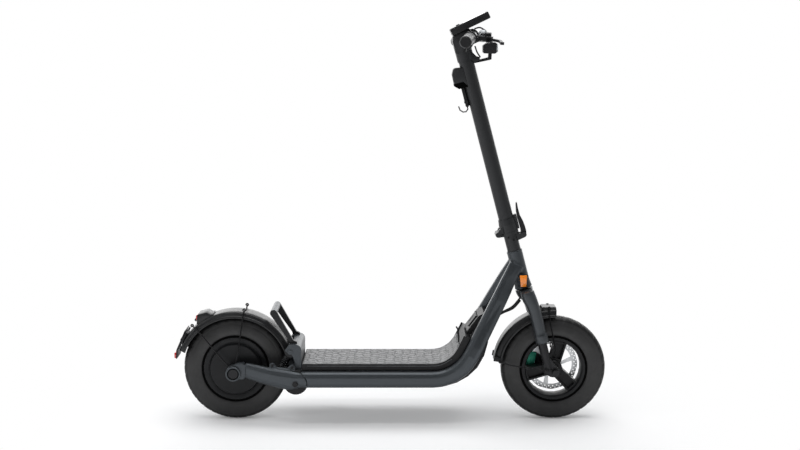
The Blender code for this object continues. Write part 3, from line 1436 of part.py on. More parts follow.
def make_front_fender(parent):
    """Front fender over the rear upper part of the tyre, with its block and stays."""
    shell = fender_shell(
        FRONT_FENDER_RADIUS, FRONT_FENDER_HALF, FRONT_FENDER_SKIRT, FRONT_FENDER_START, FRONT_FENDER_END, 10
    )
    stay_y = FRONT_FENDER_HALF + STAY_RADIUS * 0.5
    eye_y = LEG_Y + LOWER_LEG_RADIUS + GAP + STAY_RADIUS
    eye_face = LEG_Y + DROPOUT_HALF + GAP
    stay = [
        (-0.1700, -stay_y, 0.0400),
        (-0.1500, -stay_y - 0.004, 0.0200),
        (-0.0720, -eye_y, 0.0110),
        (0.0, -eye_y, 0.0),
        (0.0035, -eye_y, 0.0400),
        (-0.0040, -eye_y, 0.0824),
        (-0.0160, -stay_y - 0.004, 0.1560),
    ]
    stay.append((-0.0190, -stay_y, 0.1715))
    wire = stay_wire(stay, 0.0090, -eye_face - EYE_THICKNESS, -eye_face, 0.0022)
    wire = cut(wire, cross_rod(0.0, 0.0, -0.1, -0.05, AXLE_RADIUS + GAP))
    other = mirrored(wire)
    part(join(shell, wire, other), "front_fender", "black_plastic", parent)


# Steering base, fold and stem
def make_steering_base(parent):
    """Column clamped on the steerer, with the lower collar, hinge knuckle and latch lugs."""
    collar_low = SPLIT_Z - 0.011
    column = rod((0, 0, GAP), (0, 0, SPLIT_Z - 0.004), BASE_RADIUS, sides=ROUND)
    outline = arc((0, 0), COLLAR_RADIUS, radians(-150), radians(150), 15)
    outline += [(FOLD_PIN_X, 0.0150), (FOLD_PIN_X, -0.0150)]
    collar = plate(outline, SPLIT_Z - GAP - collar_low, (), "Z", (SPLIT_Z - GAP + collar_low) / 2)
    body = join(column, collar)
    for side in (-1, 1):
        clear = block((0.040, 0.013, 0.040), (FOLD_PIN_X - 0.0095, side * 0.0163, SPLIT_Z))
        body = cut(body, clear)
    knuckle = cross_rod(FOLD_PIN_X, SPLIT_Z, -0.0095, 0.0095, KNUCKLE_RADIUS)
    web = block((0.012, 0.019, 0.008), (FOLD_PIN_X + 0.0050, 0.0, SPLIT_Z - 0.0045))
    body = join(body, knuckle, web)
    lug = [(0.0170, LATCH_Z + 0.0090), (0.0170, LATCH_Z - 0.0120), (0.0400, LATCH_Z - 0.0080)]
    lug += arc((LATCH_X, LATCH_Z), 0.0075, radians(-60), radians(90), 7)
    for side in (-1, 1):
        body = join(body, plate(lug, 0.0040, (), "Y", side * 0.0110))
    body = cut(body, rod((0, 0, -0.01), (0, 0, STEERER_TOP + 0.001), STEERER_RADIUS + GAP, sides=ROUND))
    body = cut(body, rod((0, 0, 0), (0, 0, SPLIT_Z + 0.01), 0.0110, sides=ROUND))
    pin = cross_rod(LATCH_X, LATCH_Z, -0.0115, 0.0115, 0.0025, SMALL_ROUND)
    fold_pin = cross_rod(FOLD_PIN_X, SPLIT_Z, -0.0240, 0.0240, FOLD_PIN_RADIUS)
    part(join(body, pin, fold_pin), "steering_base", "black_metal", parent)





def make_stem_foot(parent):
    """Upper collar with its knuckles, the socket of the stem tube and the latch catch."""
    base = (-FOLD_PIN_X, 0.0, -SPLIT_Z)
    top = SPLIT_Z + 0.0400
    low = SPLIT_Z + GAP
    body = rod((0, 0, low), (0, 0, SPLIT_Z + 0.022), COLLAR_RADIUS, sides=ROUND)
    body = join(body, rod((0, 0, SPLIT_Z + 0.021), (0, 0, top), COLLAR_RADIUS, STEM_RADIUS + 0.0022, sides=ROUND))
    for side in (-1, 1):
        y = side * 0.0160
        cheek = [(-0.0180, low), (-0.0180, SPLIT_Z + 0.0180), (-0.0300, SPLIT_Z + 0.0140)]
        cheek += arc((FOLD_PIN_X, SPLIT_Z), KNUCKLE_RADIUS, radians(75), radians(285), 10)
        cheek += [(FOLD_PIN_X + KNUCKLE_RADIUS * 0.9, low)]
        body = join(body, plate(cheek, 0.0120, (), "Y", y))
    body = cut(body, cross_rod(FOLD_PIN_X, SPLIT_Z, -0.04, 0.04, FOLD_PIN_RADIUS + GAP))
    relief = block((0.030, 0.0205, 0.020), (FOLD_PIN_X - 0.0060, 0.0, SPLIT_Z + 0.0095))
    body = cut(body, relief)
    catch = block((0.0110, 0.0140, 0.0450), (0.0265, 0.0, SPLIT_Z + 0.0240), None, 0.0012, 1)
    body = join(body, catch)
    socket = (STEM_RADIUS + GAP) / cos(pi / ROUND)
    body = cut(body, rod((0, 0, STEM_BOTTOM - GAP), (0, 0, top + 0.01), socket, sides=ROUND))
    body = cut(body, rod((0, 0, SPLIT_Z - 0.01), (0, 0, STEM_BOTTOM + 0.01), 0.0180, sides=ROUND))
    part(moved(body, base), "stem_foot", "black_metal", parent)


def make_latch_lever(parent):
    """Latch lever in front of the stem, hinged between the lugs of the base."""
    outline = arc((0.0, 0.0), 0.0080, radians(180), radians(330), 8)
    outline += [(0.0093, 0.0100), (0.0088, 0.0260), (0.0068, 0.0424), (0.0022, 0.0600)]
    outline += [(0.0016, 0.0800), (0.0028, LATCH_TOP - LATCH_Z), (-0.0010, LATCH_TOP - LATCH_Z - 0.0010)]
    outline += [(-0.0060, 0.0750), (-0.0072, 0.0560), (-0.0060, 0.0200)]
    lever = plate(outline, 0.0160)
    rounding = lever.modifiers.new("rounding", "BEVEL")
    rounding.width = 0.0012
    rounding.segments = 1
    rounding.limit_method = "ANGLE"
    lever = bake(lever)
    lever = cut(lever, cross_rod(0.0, 0.0, -0.02, 0.02, 0.0025 + GAP, SMALL_ROUND))
    part(lever, "fold_latch_lever", "black_metal", parent)


def stem_tube_shape():
    """Stem tube, hollow, open at both ends."""
    wall = 0.0025
    profile = [
        (STEM_RADIUS, STEM_TOP),
        (STEM_RADIUS, STEM_BOTTOM),
        (STEM_RADIUS - wall, STEM_BOTTOM),
        (STEM_RADIUS - wall, STEM_TOP),
    ]
    return bake(turned(profile, ROUND))


def display_point(along, up):
    """Point of the display's side view: along its top edge from the rear corner, and up."""
    x = DISPLAY_REAR_X + along * cos(DISPLAY_TILT) - up * sin(DISPLAY_TILT)
    z = DISPLAY_REAR_Z + along * sin(DISPLAY_TILT) + up * cos(DISPLAY_TILT)
    return x, z


def make_stem(parent):
    """Stem tube welded to its head with the rear half of the bar seat, and the bar clamp."""
    to_fold = (-FOLD_PIN_X, 0.0, -SPLIT_Z)
    top = -DISPLAY_THICKNESS - GAP
    outline = [(-SLEEVE_RADIUS, 0.6120), (-SLEEVE_RADIUS, 0.6500), display_point(-0.0005, top)]
    outline += [display_point(0.0535, top), (BAR_X - GAP, BAR_Z + 0.0180)]
    outline += [(BAR_X - GAP, BAR_Z - 0.0240), (0.0180, 0.6120)]
    head = plate(outline, 0.0460)
    rounding = head.modifiers.new("rounding", "BEVEL")
    rounding.width = 0.0030
    rounding.segments = 2
    rounding.limit_method = "ANGLE"
    head = bake(head)
    sleeve = rod((0, 0, 0.5850), (0, 0, 0.6400), SLEEVE_RADIUS, sides=ROUND)
    head = join(head, sleeve)
    head = cut(head, rod((0, 0, 0.57), (0, 0, STEM_TOP - 0.004), STEM_RADIUS - 0.001, sides=ROUND))
    seat_radius = BAR_CENTRE_RADIUS + GAP
    stem = join(stem_tube_shape(), head)
    stem = cut(stem, cross_rod(BAR_X, BAR_Z, -0.05, 0.05, seat_radius, ROUND))
    part(moved(stem, to_fold), "stem", "black_metal", parent)
    cap_outline = [(BAR_X + GAP, BAR_Z - 0.0235), (BAR_X + 0.0100, BAR_Z - 0.0225)]
    cap_outline += arc((BAR_X, BAR_Z), 0.0215, radians(-50), radians(50), 7)
    cap_outline += [(BAR_X + 0.0080, BAR_Z + 0.0200), (BAR_X + GAP, BAR_Z + 0.0200)]
    cap = plate(cap_outline, 0.0420)
    cap = cut(cap, cross_rod(BAR_X, BAR_Z, -0.05, 0.05, seat_radius, ROUND))
    part(moved(cap, to_fold), "handlebar_clamp", "black_metal", parent)


def bar_point(y, above=0.0):
    """Centre of the handlebar at a distance from the middle, in the steering frame."""
    out = abs(y)
    start = BAR_STRAIGHT
    soft = BAR_BEND_END - start
    if out <= start:
        bend = 0.0
    elif out <= BAR_BEND_END:
        bend = (out - start) ** 2 / (2 * soft)
    else:
        bend = soft / 2 + (out - BAR_BEND_END)
    return Vector((BAR_X - bend * BAR_SWEEP, y, BAR_Z - bend * BAR_DROP + above))


def make_handlebar(parent):
    """Handlebar: thick at the clamp, swept back to the grips."""
    stations = [-BAR_HALF, -BAR_BEND_END, -0.080, -0.070, -0.060, -BAR_STRAIGHT, -0.030]
    stations += [-value for value in reversed(stations)]
    thin = BAR_END_RADIUS / BAR_CENTRE_RADIUS
    scales = []
    for y in stations:
        share = min(1.0, max(0.0, (abs(y) - 0.030) / 0.045))
        scales.append(1.0 + (thin - 1.0) * share)
    to_fold = (-FOLD_PIN_X, 0.0, -SPLIT_Z)
    bar = pipe([bar_point(y) for y in stations], BAR_CENTRE_RADIUS, scales, resolution=5)
    part(moved(bar, to_fold), "handlebar", "black_metal", parent)


def bar_turn(side):
    """Rotation that takes Y to the direction of the swept bar on one side."""
    start = bar_point(side * BAR_BEND_END)
    end = bar_point(side * BAR_HALF)
    along = (end - start).normalized()
    if side < 0:
        along = -along
    return Vector((0.0, 1.0, 0.0)).rotation_difference(along).to_matrix().to_4x4()


def lever_turn(side):
    """Rotation of a brake lever assembly, dropped about the bar towards the fingers."""
    return bar_turn(side) @ Matrix.Rotation(LEVER_DROP, 4, "Y")


def on_bar(item, y, side):
    """Place a shape, modelled about the Y axis at its origin, on the bar."""
    to_fold = Vector((-FOLD_PIN_X, 0.0, -SPLIT_Z))
    return moved(item, bar_point(side * y) + to_fold, bar_turn(side))


def ring_on_bar(radius, half):
    """A clamp ring about the Y axis, before its bore is cut."""
    return cross_rod(0.0, 0.0, -half, half, radius, ROUND)


def bored_for_bar(item):
    """Cut the bore for the bar out of a shape about the Y axis."""
    return cut(item, cross_rod(0.0, 0.0, -0.05, 0.05, BAR_END_RADIUS + GAP, ROUND))


def make_grips(parent):
    """Rubber grips with end flanges, closed at the outer end."""
    bore = BAR_END_RADIUS + GAP
    depth = (bar_point(BAR_HALF) - bar_point(GRIP_INNER_Y)).length + GAP
    profile = [
        (0.0, GRIP_LENGTH),
        (GRIP_RADIUS - 0.0030, GRIP_LENGTH),
        (GRIP_RADIUS, GRIP_LENGTH - 0.0030),
        (GRIP_RADIUS, GRIP_LENGTH - 0.0100),
        (GRIP_RADIUS - 0.0012, GRIP_LENGTH - 0.0140),
        (GRIP_RADIUS - 0.0006, GRIP_LENGTH * 0.5),
        (GRIP_RADIUS - 0.0012, 0.0100),
        (GRIP_RADIUS + 0.0004, 0.0060),
        (GRIP_RADIUS + 0.0004, 0.0010),
        (GRIP_RADIUS - 0.0008, 0.0),
        (bore, 0.0),
        (bore, depth),
        (0.0, depth),
    ]
    for side, name in ((-1, "right"), (1, "left")):
        grip = bake(turned(profile, ROUND, closed=False))
        turn = Matrix.Rotation(-pi / 2 * side, 4, "X")
        grip = moved(grip, turn=turn)
        part(on_bar(grip, GRIP_INNER_Y, side), "grip_" + name, "rubber", parent)


def make_display(parent, button_frame):
    """Display housing with a glass in its top and a button."""
    to_fold = (-FOLD_PIN_X, 0.0, -SPLIT_Z)
    middle = (DISPLAY_LENGTH / 2, -DISPLAY_THICKNESS / 2)
    centre = display_point(*middle)
    turn = (0.0, -DISPLAY_TILT, 0.0)
    size = (DISPLAY_LENGTH, DISPLAY_WIDTH, DISPLAY_THICKNESS)
    housing = block(size, (centre[0], 0.0, centre[1]), turn, 0.0025)
    glass_size = (0.070, 0.062, 0.0020)
    glass_centre = display_point(0.0800, -0.0005)
    recess = block(
        (glass_size[0] + 2 * GAP, glass_size[1] + 2 * GAP, glass_size[2] + 2 * GAP + 0.002),
        (glass_centre[0], 0.0, glass_centre[1] + 0.001), turn,
    )
    housing = cut(housing, recess)
    button_centre = display_point(0.0270, 0.0)
    socket = block((0.0116, 0.0116, 0.0100), (button_centre[0], 0.0, button_centre[1]), turn)
    housing = cut(housing, socket)
    part(moved(housing, to_fold), "display_housing", "black_plastic", parent)
    glass = block(glass_size, (glass_centre[0], 0.0, glass_centre[1]), turn)
    part(moved(glass, to_fold), "display_glass", "glass", parent)
    button = block((0.0110, 0.0110, 0.0055), (0.0, 0.0, 0.0005), None, 0.0012, 1)
    part(button, "power_button", "grey_plastic", button_frame)


def make_brakes(parent, lever_frames):
    """Brake perches with master cylinders, and the levers, on both sides."""
    ring = ring_on_bar(0.0155, 0.0075)
    arm = block((0.042, 0.013, 0.014), (0.0270, 0.0, 0.0010), None, 0.002, 1)
    cylinder = rod((0.046, 0.024, 0.0010), (0.052, -0.012, 0.0010), 0.0085, sides=ROUND)
    tank = block((0.018, 0.031, 0.012), (0.0490, 0.0065, 0.0112), None, 0.002, 1)
    perch = join(ring, arm, cylinder, tank)
    for level in (-0.0060, 0.0065):
        cheek = block((0.020, 0.0225, 0.0034), (LEVER_PIVOT_X - 0.003, -0.0200, level))
        perch = join(perch, cheek)
    perch = moved(perch, turn=Matrix.Rotation(LEVER_DROP, 4, "Y"))
    perch = bored_for_bar(perch)
    pair(on_bar(perch, PERCH_Y, -1), "brake_perch", "black_metal", (parent, parent))
    middle = [
        (0.0, 0.0), (0.0110, 0.0130), (0.0260, 0.0340), (0.0335, 0.0600), (0.0350, 0.0880), (0.0400, 0.1120),
    ]
    widths = [0.0058, 0.0055, 0.0045, 0.0042, 0.0042, 0.0050]
    for side, name in ((-1, "right"), (1, "left")):
        front = [(x + width, side * y) for (x, y), width in zip(middle, widths)]
        back = [(x - width, side * y) for (x, y), width in zip(middle, widths)]
        lever = plate(front + list(reversed(back)), 0.0075, (), "Z", 0.0)
        part(lever, "brake_lever_" + name, "black_metal", lever_frames[name])


def brake_pivot(side):
    """Pivot of a brake lever in the frame of the folding stem."""
    to_fold = Vector((-FOLD_PIN_X, 0.0, -SPLIT_Z))
    local = lever_turn(side) @ Vector((LEVER_PIVOT_X, side * 0.0230, 0.0003))
    return bar_point(side * PERCH_Y) + to_fold + local


def stem_point(x, z):
    """Point of the folding stem's frame from a world position."""
    run = x - HEAD_X
    rise = z - HEAD_Z
    across = run * cos(RAKE) + rise * sin(RAKE)
    along = -run * sin(RAKE) + rise * cos(RAKE)
    return across - FOLD_PIN_X, along - SPLIT_Z


def make_throttle(parent, paddle_frame):
    """Thumb throttle beside the right grip: housing ring and paddle."""
    ring = ring_on_bar(0.0195, THROTTLE_HALF)
    lump = block((0.020, 2 * THROTTLE_HALF, 0.014), (0.0130, 0.0, -0.0090), None, 0.002, 1)
    housing = bored_for_bar(join(ring, lump))
    part(on_bar(housing, THROTTLE_Y, -1), "throttle_housing", "black_plastic", parent)
    paddle = ring_on_bar(0.0165, PADDLE_HALF)
    reach = PADDLE_REACH
    turn = PADDLE_ANGLE
    along = Vector((cos(turn), 0.0, sin(turn)))
    aside = Vector((-sin(turn), 0.0, cos(turn)))
    outline = []
    for out, wide in ((0.0090, -0.0045), (reach - 0.006, -0.0035), (reach, -0.0060), (reach + 0.003, 0.0)):
        outline.append(along * out + aside * wide)
    for out, wide in ((reach, 0.0060), (reach - 0.006, 0.0035), (0.0090, 0.0045)):
        outline.append(along * out + aside * wide)
    arm = plate([(point.x, point.z) for point in outline], 2 * PADDLE_HALF)
    part(bored_for_bar(join(paddle, arm)), "throttle_paddle", "black_plastic", paddle_frame)


def make_bell(parent, striker_frame):
    """Bell in front of the bar: clamp, base and dome in one body, and the striker."""
    ring = ring_on_bar(0.0150, 0.0060)
    arm = block((0.032, 0.010, 0.006), (0.0200, 0.0, -0.0030), None, 0.001, 1)
    base = rod((BELL_REACH, 0.0, -0.0060), (BELL_REACH, 0.0, -0.0010), BELL_RADIUS - 0.001, sides=ROUND)
    wall = 0.0014
    profile = [(0.0, BELL_RADIUS * 0.80)]
    profile += [(BELL_RADIUS * sin(t), BELL_RADIUS * 0.80 * cos(t)) for t in (0.55, 1.10)]
    profile += [(BELL_RADIUS, 0.0), (BELL_RADIUS - wall, 0.0)]
    profile += [((BELL_RADIUS - wall) * sin(t), (BELL_RADIUS * 0.80 - wall) * cos(t)) for t in (1.10, 0.55)]
    profile += [(0.0, BELL_RADIUS * 0.80 - wall)]
    dome = moved(bake(turned(profile, ROUND, closed=False)), (BELL_REACH, 0.0, 0.0014))
    post = rod((BELL_REACH, 0.0, -0.0030), (BELL_REACH, 0.0, BELL_RADIUS * 0.80), 0.0030, sides=SMALL_ROUND)
    stud_x, stud_y = BELL_STRIKER
    shelf = block((0.012, 0.010, 0.004), (stud_x - 0.002, stud_y - 0.003, -0.0035), None, 0.0008, 1)
    stud = rod((stud_x, stud_y, -0.0035), (stud_x, stud_y, 0.0060), 0.0016, sides=SMALL_ROUND)
    bell = bored_for_bar(join(ring, arm, base, post, dome, shelf, stud))
    part(on_bar(bell, BELL_Y, -1), "bell", "steel", parent)
    lever = block((0.0050, 0.0160, 0.0035), (0.0, 0.0065, 0.0), None, 0.0008, 1)
    hub = rod((0.0, 0.0, -0.0020), (0.0, 0.0, 0.0020), 0.0034, sides=SMALL_ROUND)
    lever = join(lever, hub)
    lever = cut(lever, rod((0, 0, -0.01), (0, 0, 0.01), 0.0016 + GAP, sides=SMALL_ROUND))
    part(lever, "bell_striker", "black_plastic", striker_frame)


def make_headlight(parent):
    """Headlight, level with the ground, on an arm from the front of the stem."""
    half = 0.0200
    shape = [
        (0.2760, 1.1120), (0.2800, 1.1075), (0.3100, 1.1065), (0.3165, 1.1090),
        (0.3165, 1.1370), (0.3110, 1.1400), (0.2850, 1.1370), (0.2760, 1.1300),
    ]
    body = plate([stem_point(*point) for point in shape], 2 * half)
    rounding = body.modifiers.new("rounding", "BEVEL")
    rounding.width = 0.0030
    rounding.segments = 2
    rounding.limit_method = "ANGLE"
    rounding.angle_limit = radians(60)
    body = bake(body)
    front = -FOLD_PIN_X + STEM_RADIUS
    low = 0.5730 - SPLIT_Z
    arm_shape = [
        (front - 0.0060, low + 0.0270), (front - 0.0060, low), (front + 0.0030, low - 0.0010),
        stem_point(0.2960, 1.0880), stem_point(0.3020, 1.0900), stem_point(0.3030, 1.1100),
        stem_point(0.2930, 1.1100), stem_point(0.2920, 1.0960), (front + 0.0050, low + 0.0060),
        (front + 0.0045, low + 0.0270),
    ]
    arm = plate(arm_shape, 0.0160)
    stem_core = rod((-FOLD_PIN_X, 0, 0.3), (-FOLD_PIN_X, 0, 0.6), STEM_RADIUS + GAP, sides=72)
    sleeve = rod((-FOLD_PIN_X, 0, 0.5845 - SPLIT_Z), (-FOLD_PIN_X, 0, 0.6), SLEEVE_RADIUS + GAP, sides=72)
    arm = cut(arm, stem_core, sleeve)
    part(join(body, arm), "headlight_housing", "black_plastic", parent)
    lens_shape = [(0.3168, 1.1095), (0.3205, 1.1125), (0.3205, 1.1345), (0.3168, 1.1365)]
    lens = plate([stem_point(*point) for point in lens_shape], 0.0340)
    part(lens, "headlight_lens", "clear_lens", parent)


def make_bag_hook(parent):
    """Housing behind the stem with a slim bar, a knob and the wire hook below."""
    back = -FOLD_PIN_X
    low = 0.5120 - SPLIT_Z
    high = 0.5720 - SPLIT_Z
    outline = [
        (back - 0.0100, low), (back - 0.0400, low - 0.0010), (back - 0.0470, low + 0.0050),
        (back - 0.0520, low + 0.0100), (back - 0.0510, high - 0.0160), (back - 0.0440, high - 0.0020),
        (back - 0.0380, high + 0.0010), (back - 0.0100, high - 0.0030),
    ]
    body = plate(outline, 0.0360)
    rounding = body.modifiers.new("rounding", "BEVEL")
    rounding.width = 0.0030
    rounding.segments = 2
    rounding.limit_method = "ANGLE"
    rounding.angle_limit = radians(60)
    body = bake(body)
    bar = block((0.0100, 0.0160, 0.0600), (back - 0.0290, 0.0, 0.4830 - SPLIT_Z), None, 0.0020, 1)
    knob = cross_rod(back - 0.0300, 0.4680 - SPLIT_Z, -0.0115, 0.0115, 0.0060, SMALL_ROUND)
    points = [(-0.0290, 0.4570), (-0.0300, 0.4460), (-0.0370, 0.4400), (-0.0460, 0.4415), (-0.0530, 0.4490)]
    points += [(-0.0545, 0.4610)]
    wire = pipe([(back + x, 0.0, z - SPLIT_Z) for x, z in points], 0.0019, resolution=2)
    tube = rod((back, 0, 0.3), (back, 0, 0.6), STEM_RADIUS + GAP, sides=72)
    body = cut(join(body, bar, knob), tube)
    part(join(body, wire), "bag_hook", "black_plastic", parent)


# Assembly
clear_scene()
PARTS = new_collection(PARTS_NAME)
CUTTERS = new_collection("cutters")

AXLE_ACROSS, AXLE_ALONG = axle_in_steering_frame()
FRAME_CHASSIS = frame_empty("chassis_frame", (0.0, 0.0, 0.0))
FRAME_STEER = frame_empty("steering_frame", (HEAD_X, 0.0, HEAD_Z), (0.0, -RAKE, 0.0))
FRAME_HEADSET = frame_empty("headset_frame", (HEAD_X, 0.0, HEAD_Z), (0.0, -RAKE, 0.0))
FRAME_FORK = frame_empty("fork_slide_frame", (0.0, 0.0, 0.0), parent=FRAME_STEER)
FRAME_FRONT_HUB = frame_empty("front_hub_frame", (FRONT_AXLE_X, 0.0, AXLE_Z))
FRAME_FRONT_AXLE = frame_empty("front_axle_frame", (FRONT_AXLE_X, 0.0, AXLE_Z))
FRAME_SWING = frame_empty("swing_frame", (PIVOT_X, 0.0, PIVOT_Z))
FRAME_REAR_AXLE = frame_empty("rear_axle_frame", (REAR_AXLE_X, 0.0, AXLE_Z))
FRAME_REAR_HUB = frame_empty("rear_hub_frame", (REAR_AXLE_X, 0.0, AXLE_Z))
FRAME_FOLD = frame_empty("fold_frame", (FOLD_PIN_X, 0.0, SPLIT_Z), parent=FRAME_STEER)
FRAME_LATCH = frame_empty("latch_frame", (LATCH_X, 0.0, LATCH_Z), parent=FRAME_STEER)
SHOCK_TILT, SHOCK_LENGTH = shock_axis()
BODY_FRAMES = {}
ROD_FRAMES = {}
for SIDE_NAME in ("right", "left"):
    BODY_FRAMES[SIDE_NAME] = frame_empty(
        "shock_body_frame_" + SIDE_NAME, (SHOCK_UPPER_X, 0.0, SHOCK_UPPER_Z), (0.0, SHOCK_TILT, 0.0)
    )
    ROD_FRAMES[SIDE_NAME] = frame_empty(
        "shock_rod_frame_" + SIDE_NAME, (SHOCK_LOWER_X, 0.0, SHOCK_LOWER_Z), (0.0, SHOCK_TILT, 0.0)
    )
BUTTON_X, BUTTON_Z = display_point(0.0270, 0.0)
FRAME_BUTTON = frame_empty(
    "button_frame", (BUTTON_X - FOLD_PIN_X, 0.0, BUTTON_Z - SPLIT_Z), (0.0, -DISPLAY_TILT, 0.0), FRAME_FOLD
)
LEVER_FRAMES = {}
for SIDE, SIDE_NAME in ((-1, "right"), (1, "left")):
    LEVER_FRAMES[SIDE_NAME] = frame_empty(
        "brake_lever_frame_" + SIDE_NAME, brake_pivot(SIDE), lever_turn(SIDE).to_euler(), FRAME_FOLD
    )

LID_X, LID_Z = oblique_point(*LID_HINGE)
FRAME_LID = frame_empty("lid_frame", (LID_X, 0.0, LID_Z), (0.0, LID_TILT - BEND_END, 0.0))
FRAME_STAND = frame_empty("kickstand_frame", (STAND_X, STAND_Y, STAND_Z))
TO_FOLD = Vector((-FOLD_PIN_X, 0.0, -SPLIT_Z))
RIGHT_TURN = bar_turn(-1)
FRAME_PADDLE = frame_empty(
    "paddle_frame", bar_point(-PADDLE_Y) + TO_FOLD, RIGHT_TURN.to_euler(), FRAME_FOLD
)
STRIKER_PLACE = RIGHT_TURN @ Vector((BELL_STRIKER[0], BELL_STRIKER[1], 0.0026))
FRAME_STRIKER = frame_empty(
    "striker_frame", bar_point(-BELL_Y) + TO_FOLD + STRIKER_PLACE, RIGHT_TURN.to_euler(), FRAME_FOLD
)

make_frame(FRAME_CHASSIS)
make_pivot(FRAME_CHASSIS)
make_deck(FRAME_CHASSIS)
make_tray(FRAME_CHASSIS)
make_front_cover(FRAME_CHASSIS, FRAME_LID)
make_kickstand(FRAME_STAND)
make_rear_bracket(FRAME_CHASSIS)
make_loop_handle(FRAME_CHASSIS)
make_side_reflectors(FRAME_HEADSET)
make_swing_arm(FRAME_SWING)
make_rear_fender(FRAME_SWING)
make_rear_axle(FRAME_REAR_AXLE)
make_rear_wheel(FRAME_REAR_HUB, FRAME_REAR_AXLE)
make_shocks(BODY_FRAMES, ROD_FRAMES)
make_fork_crown(FRAME_STEER)
make_lower_legs(FRAME_FORK)
make_front_axle(FRAME_FRONT_AXLE)
make_front_brake(FRAME_FRONT_AXLE)
make_front_fender(FRAME_FRONT_AXLE)
make_front_wheel(FRAME_FRONT_HUB)
make_steering_base(FRAME_STEER)
make_stem_foot(FRAME_FOLD)
make_latch_lever(FRAME_LATCH)
make_stem(FRAME_FOLD)
make_handlebar(FRAME_FOLD)
make_grips(FRAME_FOLD)
make_display(FRAME_FOLD, FRAME_BUTTON)
make_brakes(FRAME_FOLD, LEVER_FRAMES)
make_throttle(FRAME_FOLD, FRAME_PADDLE)
make_bell(FRAME_FOLD, FRAME_STRIKER)
make_headlight(FRAME_FOLD)
make_bag_hook(FRAME_FOLD)
bpy.context.view_layer.update()
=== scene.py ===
"""Looks for the electric scooter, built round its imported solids."""
import json
from functools import partial
from math import copysign, cos, hypot, pi, radians, sin

import bmesh
import bpy
import numpy as np
from mathutils import Matrix, Vector

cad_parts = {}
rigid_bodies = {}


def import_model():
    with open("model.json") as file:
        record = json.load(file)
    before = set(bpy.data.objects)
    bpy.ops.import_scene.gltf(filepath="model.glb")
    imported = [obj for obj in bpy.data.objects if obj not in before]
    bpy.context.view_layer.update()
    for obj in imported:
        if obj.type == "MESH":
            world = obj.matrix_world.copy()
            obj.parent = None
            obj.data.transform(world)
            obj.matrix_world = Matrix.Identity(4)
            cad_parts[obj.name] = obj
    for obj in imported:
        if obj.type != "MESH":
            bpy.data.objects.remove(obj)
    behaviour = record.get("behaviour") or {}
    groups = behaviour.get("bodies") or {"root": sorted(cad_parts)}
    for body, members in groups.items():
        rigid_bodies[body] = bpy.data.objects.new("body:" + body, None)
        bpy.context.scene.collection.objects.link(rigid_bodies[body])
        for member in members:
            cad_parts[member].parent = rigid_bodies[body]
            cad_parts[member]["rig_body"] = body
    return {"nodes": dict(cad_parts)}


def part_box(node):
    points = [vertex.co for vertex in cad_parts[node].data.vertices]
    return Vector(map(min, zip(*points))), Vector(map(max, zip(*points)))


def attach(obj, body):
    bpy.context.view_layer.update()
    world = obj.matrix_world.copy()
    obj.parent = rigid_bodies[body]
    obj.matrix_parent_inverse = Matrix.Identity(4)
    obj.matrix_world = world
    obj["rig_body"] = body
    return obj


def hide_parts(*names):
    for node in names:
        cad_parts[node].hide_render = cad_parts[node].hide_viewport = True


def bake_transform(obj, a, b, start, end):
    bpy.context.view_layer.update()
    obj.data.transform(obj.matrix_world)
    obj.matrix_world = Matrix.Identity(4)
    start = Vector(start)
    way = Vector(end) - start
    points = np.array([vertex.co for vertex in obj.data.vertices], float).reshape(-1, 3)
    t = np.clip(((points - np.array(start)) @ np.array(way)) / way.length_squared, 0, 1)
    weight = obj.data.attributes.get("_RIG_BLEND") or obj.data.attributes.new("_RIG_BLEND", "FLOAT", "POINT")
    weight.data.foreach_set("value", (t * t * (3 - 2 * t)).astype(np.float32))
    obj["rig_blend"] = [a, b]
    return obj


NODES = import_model()["nodes"]
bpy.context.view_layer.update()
SCENE = bpy.context.scene
SIDES = ((-1, "right"), (1, "left"))
LEFT = Vector((0.0, 1.0, 0.0))

# Places taken from the solids, in metres
AXLE_Z = 0.159
REAR_X = -0.466
FRONT_X = 0.499
REAR = (REAR_X, AXLE_Z)
FRONT = (FRONT_X, AXLE_Z)
HEAD = (0.377, 0.520)
RAKE = radians(14.8)


def from_axle(point, centre):
    """Distance of a point from a wheel's axis."""
    return hypot(point.x - centre[0], point.z - centre[1])


def along_head(point):
    """Across and along of a point in the frame of the steering axis."""
    run = point.x - HEAD[0]
    rise = point.z - HEAD[1]
    return run * cos(RAKE) + rise * sin(RAKE), rise * cos(RAKE) - run * sin(RAKE)


def from_head(across, along, y=0.0):
    """World point of a place in the frame of the steering axis."""
    x = HEAD[0] + across * cos(RAKE) - along * sin(RAKE)
    z = HEAD[1] + across * sin(RAKE) + along * cos(RAKE)
    return Vector((x, y, z))


# Materials
def add_node(tree, kind, inputs=None, **settings):
    """A shader node; each input named gets a value, or a link from an output."""
    node = tree.nodes.new(kind)
    for name, value in settings.items():
        setattr(node, name, value)
    for name, value in (inputs or {}).items():
        if isinstance(value, bpy.types.NodeSocket):
            tree.links.new(value, node.inputs[name])
        else:
            node.inputs[name].default_value = value
    return node


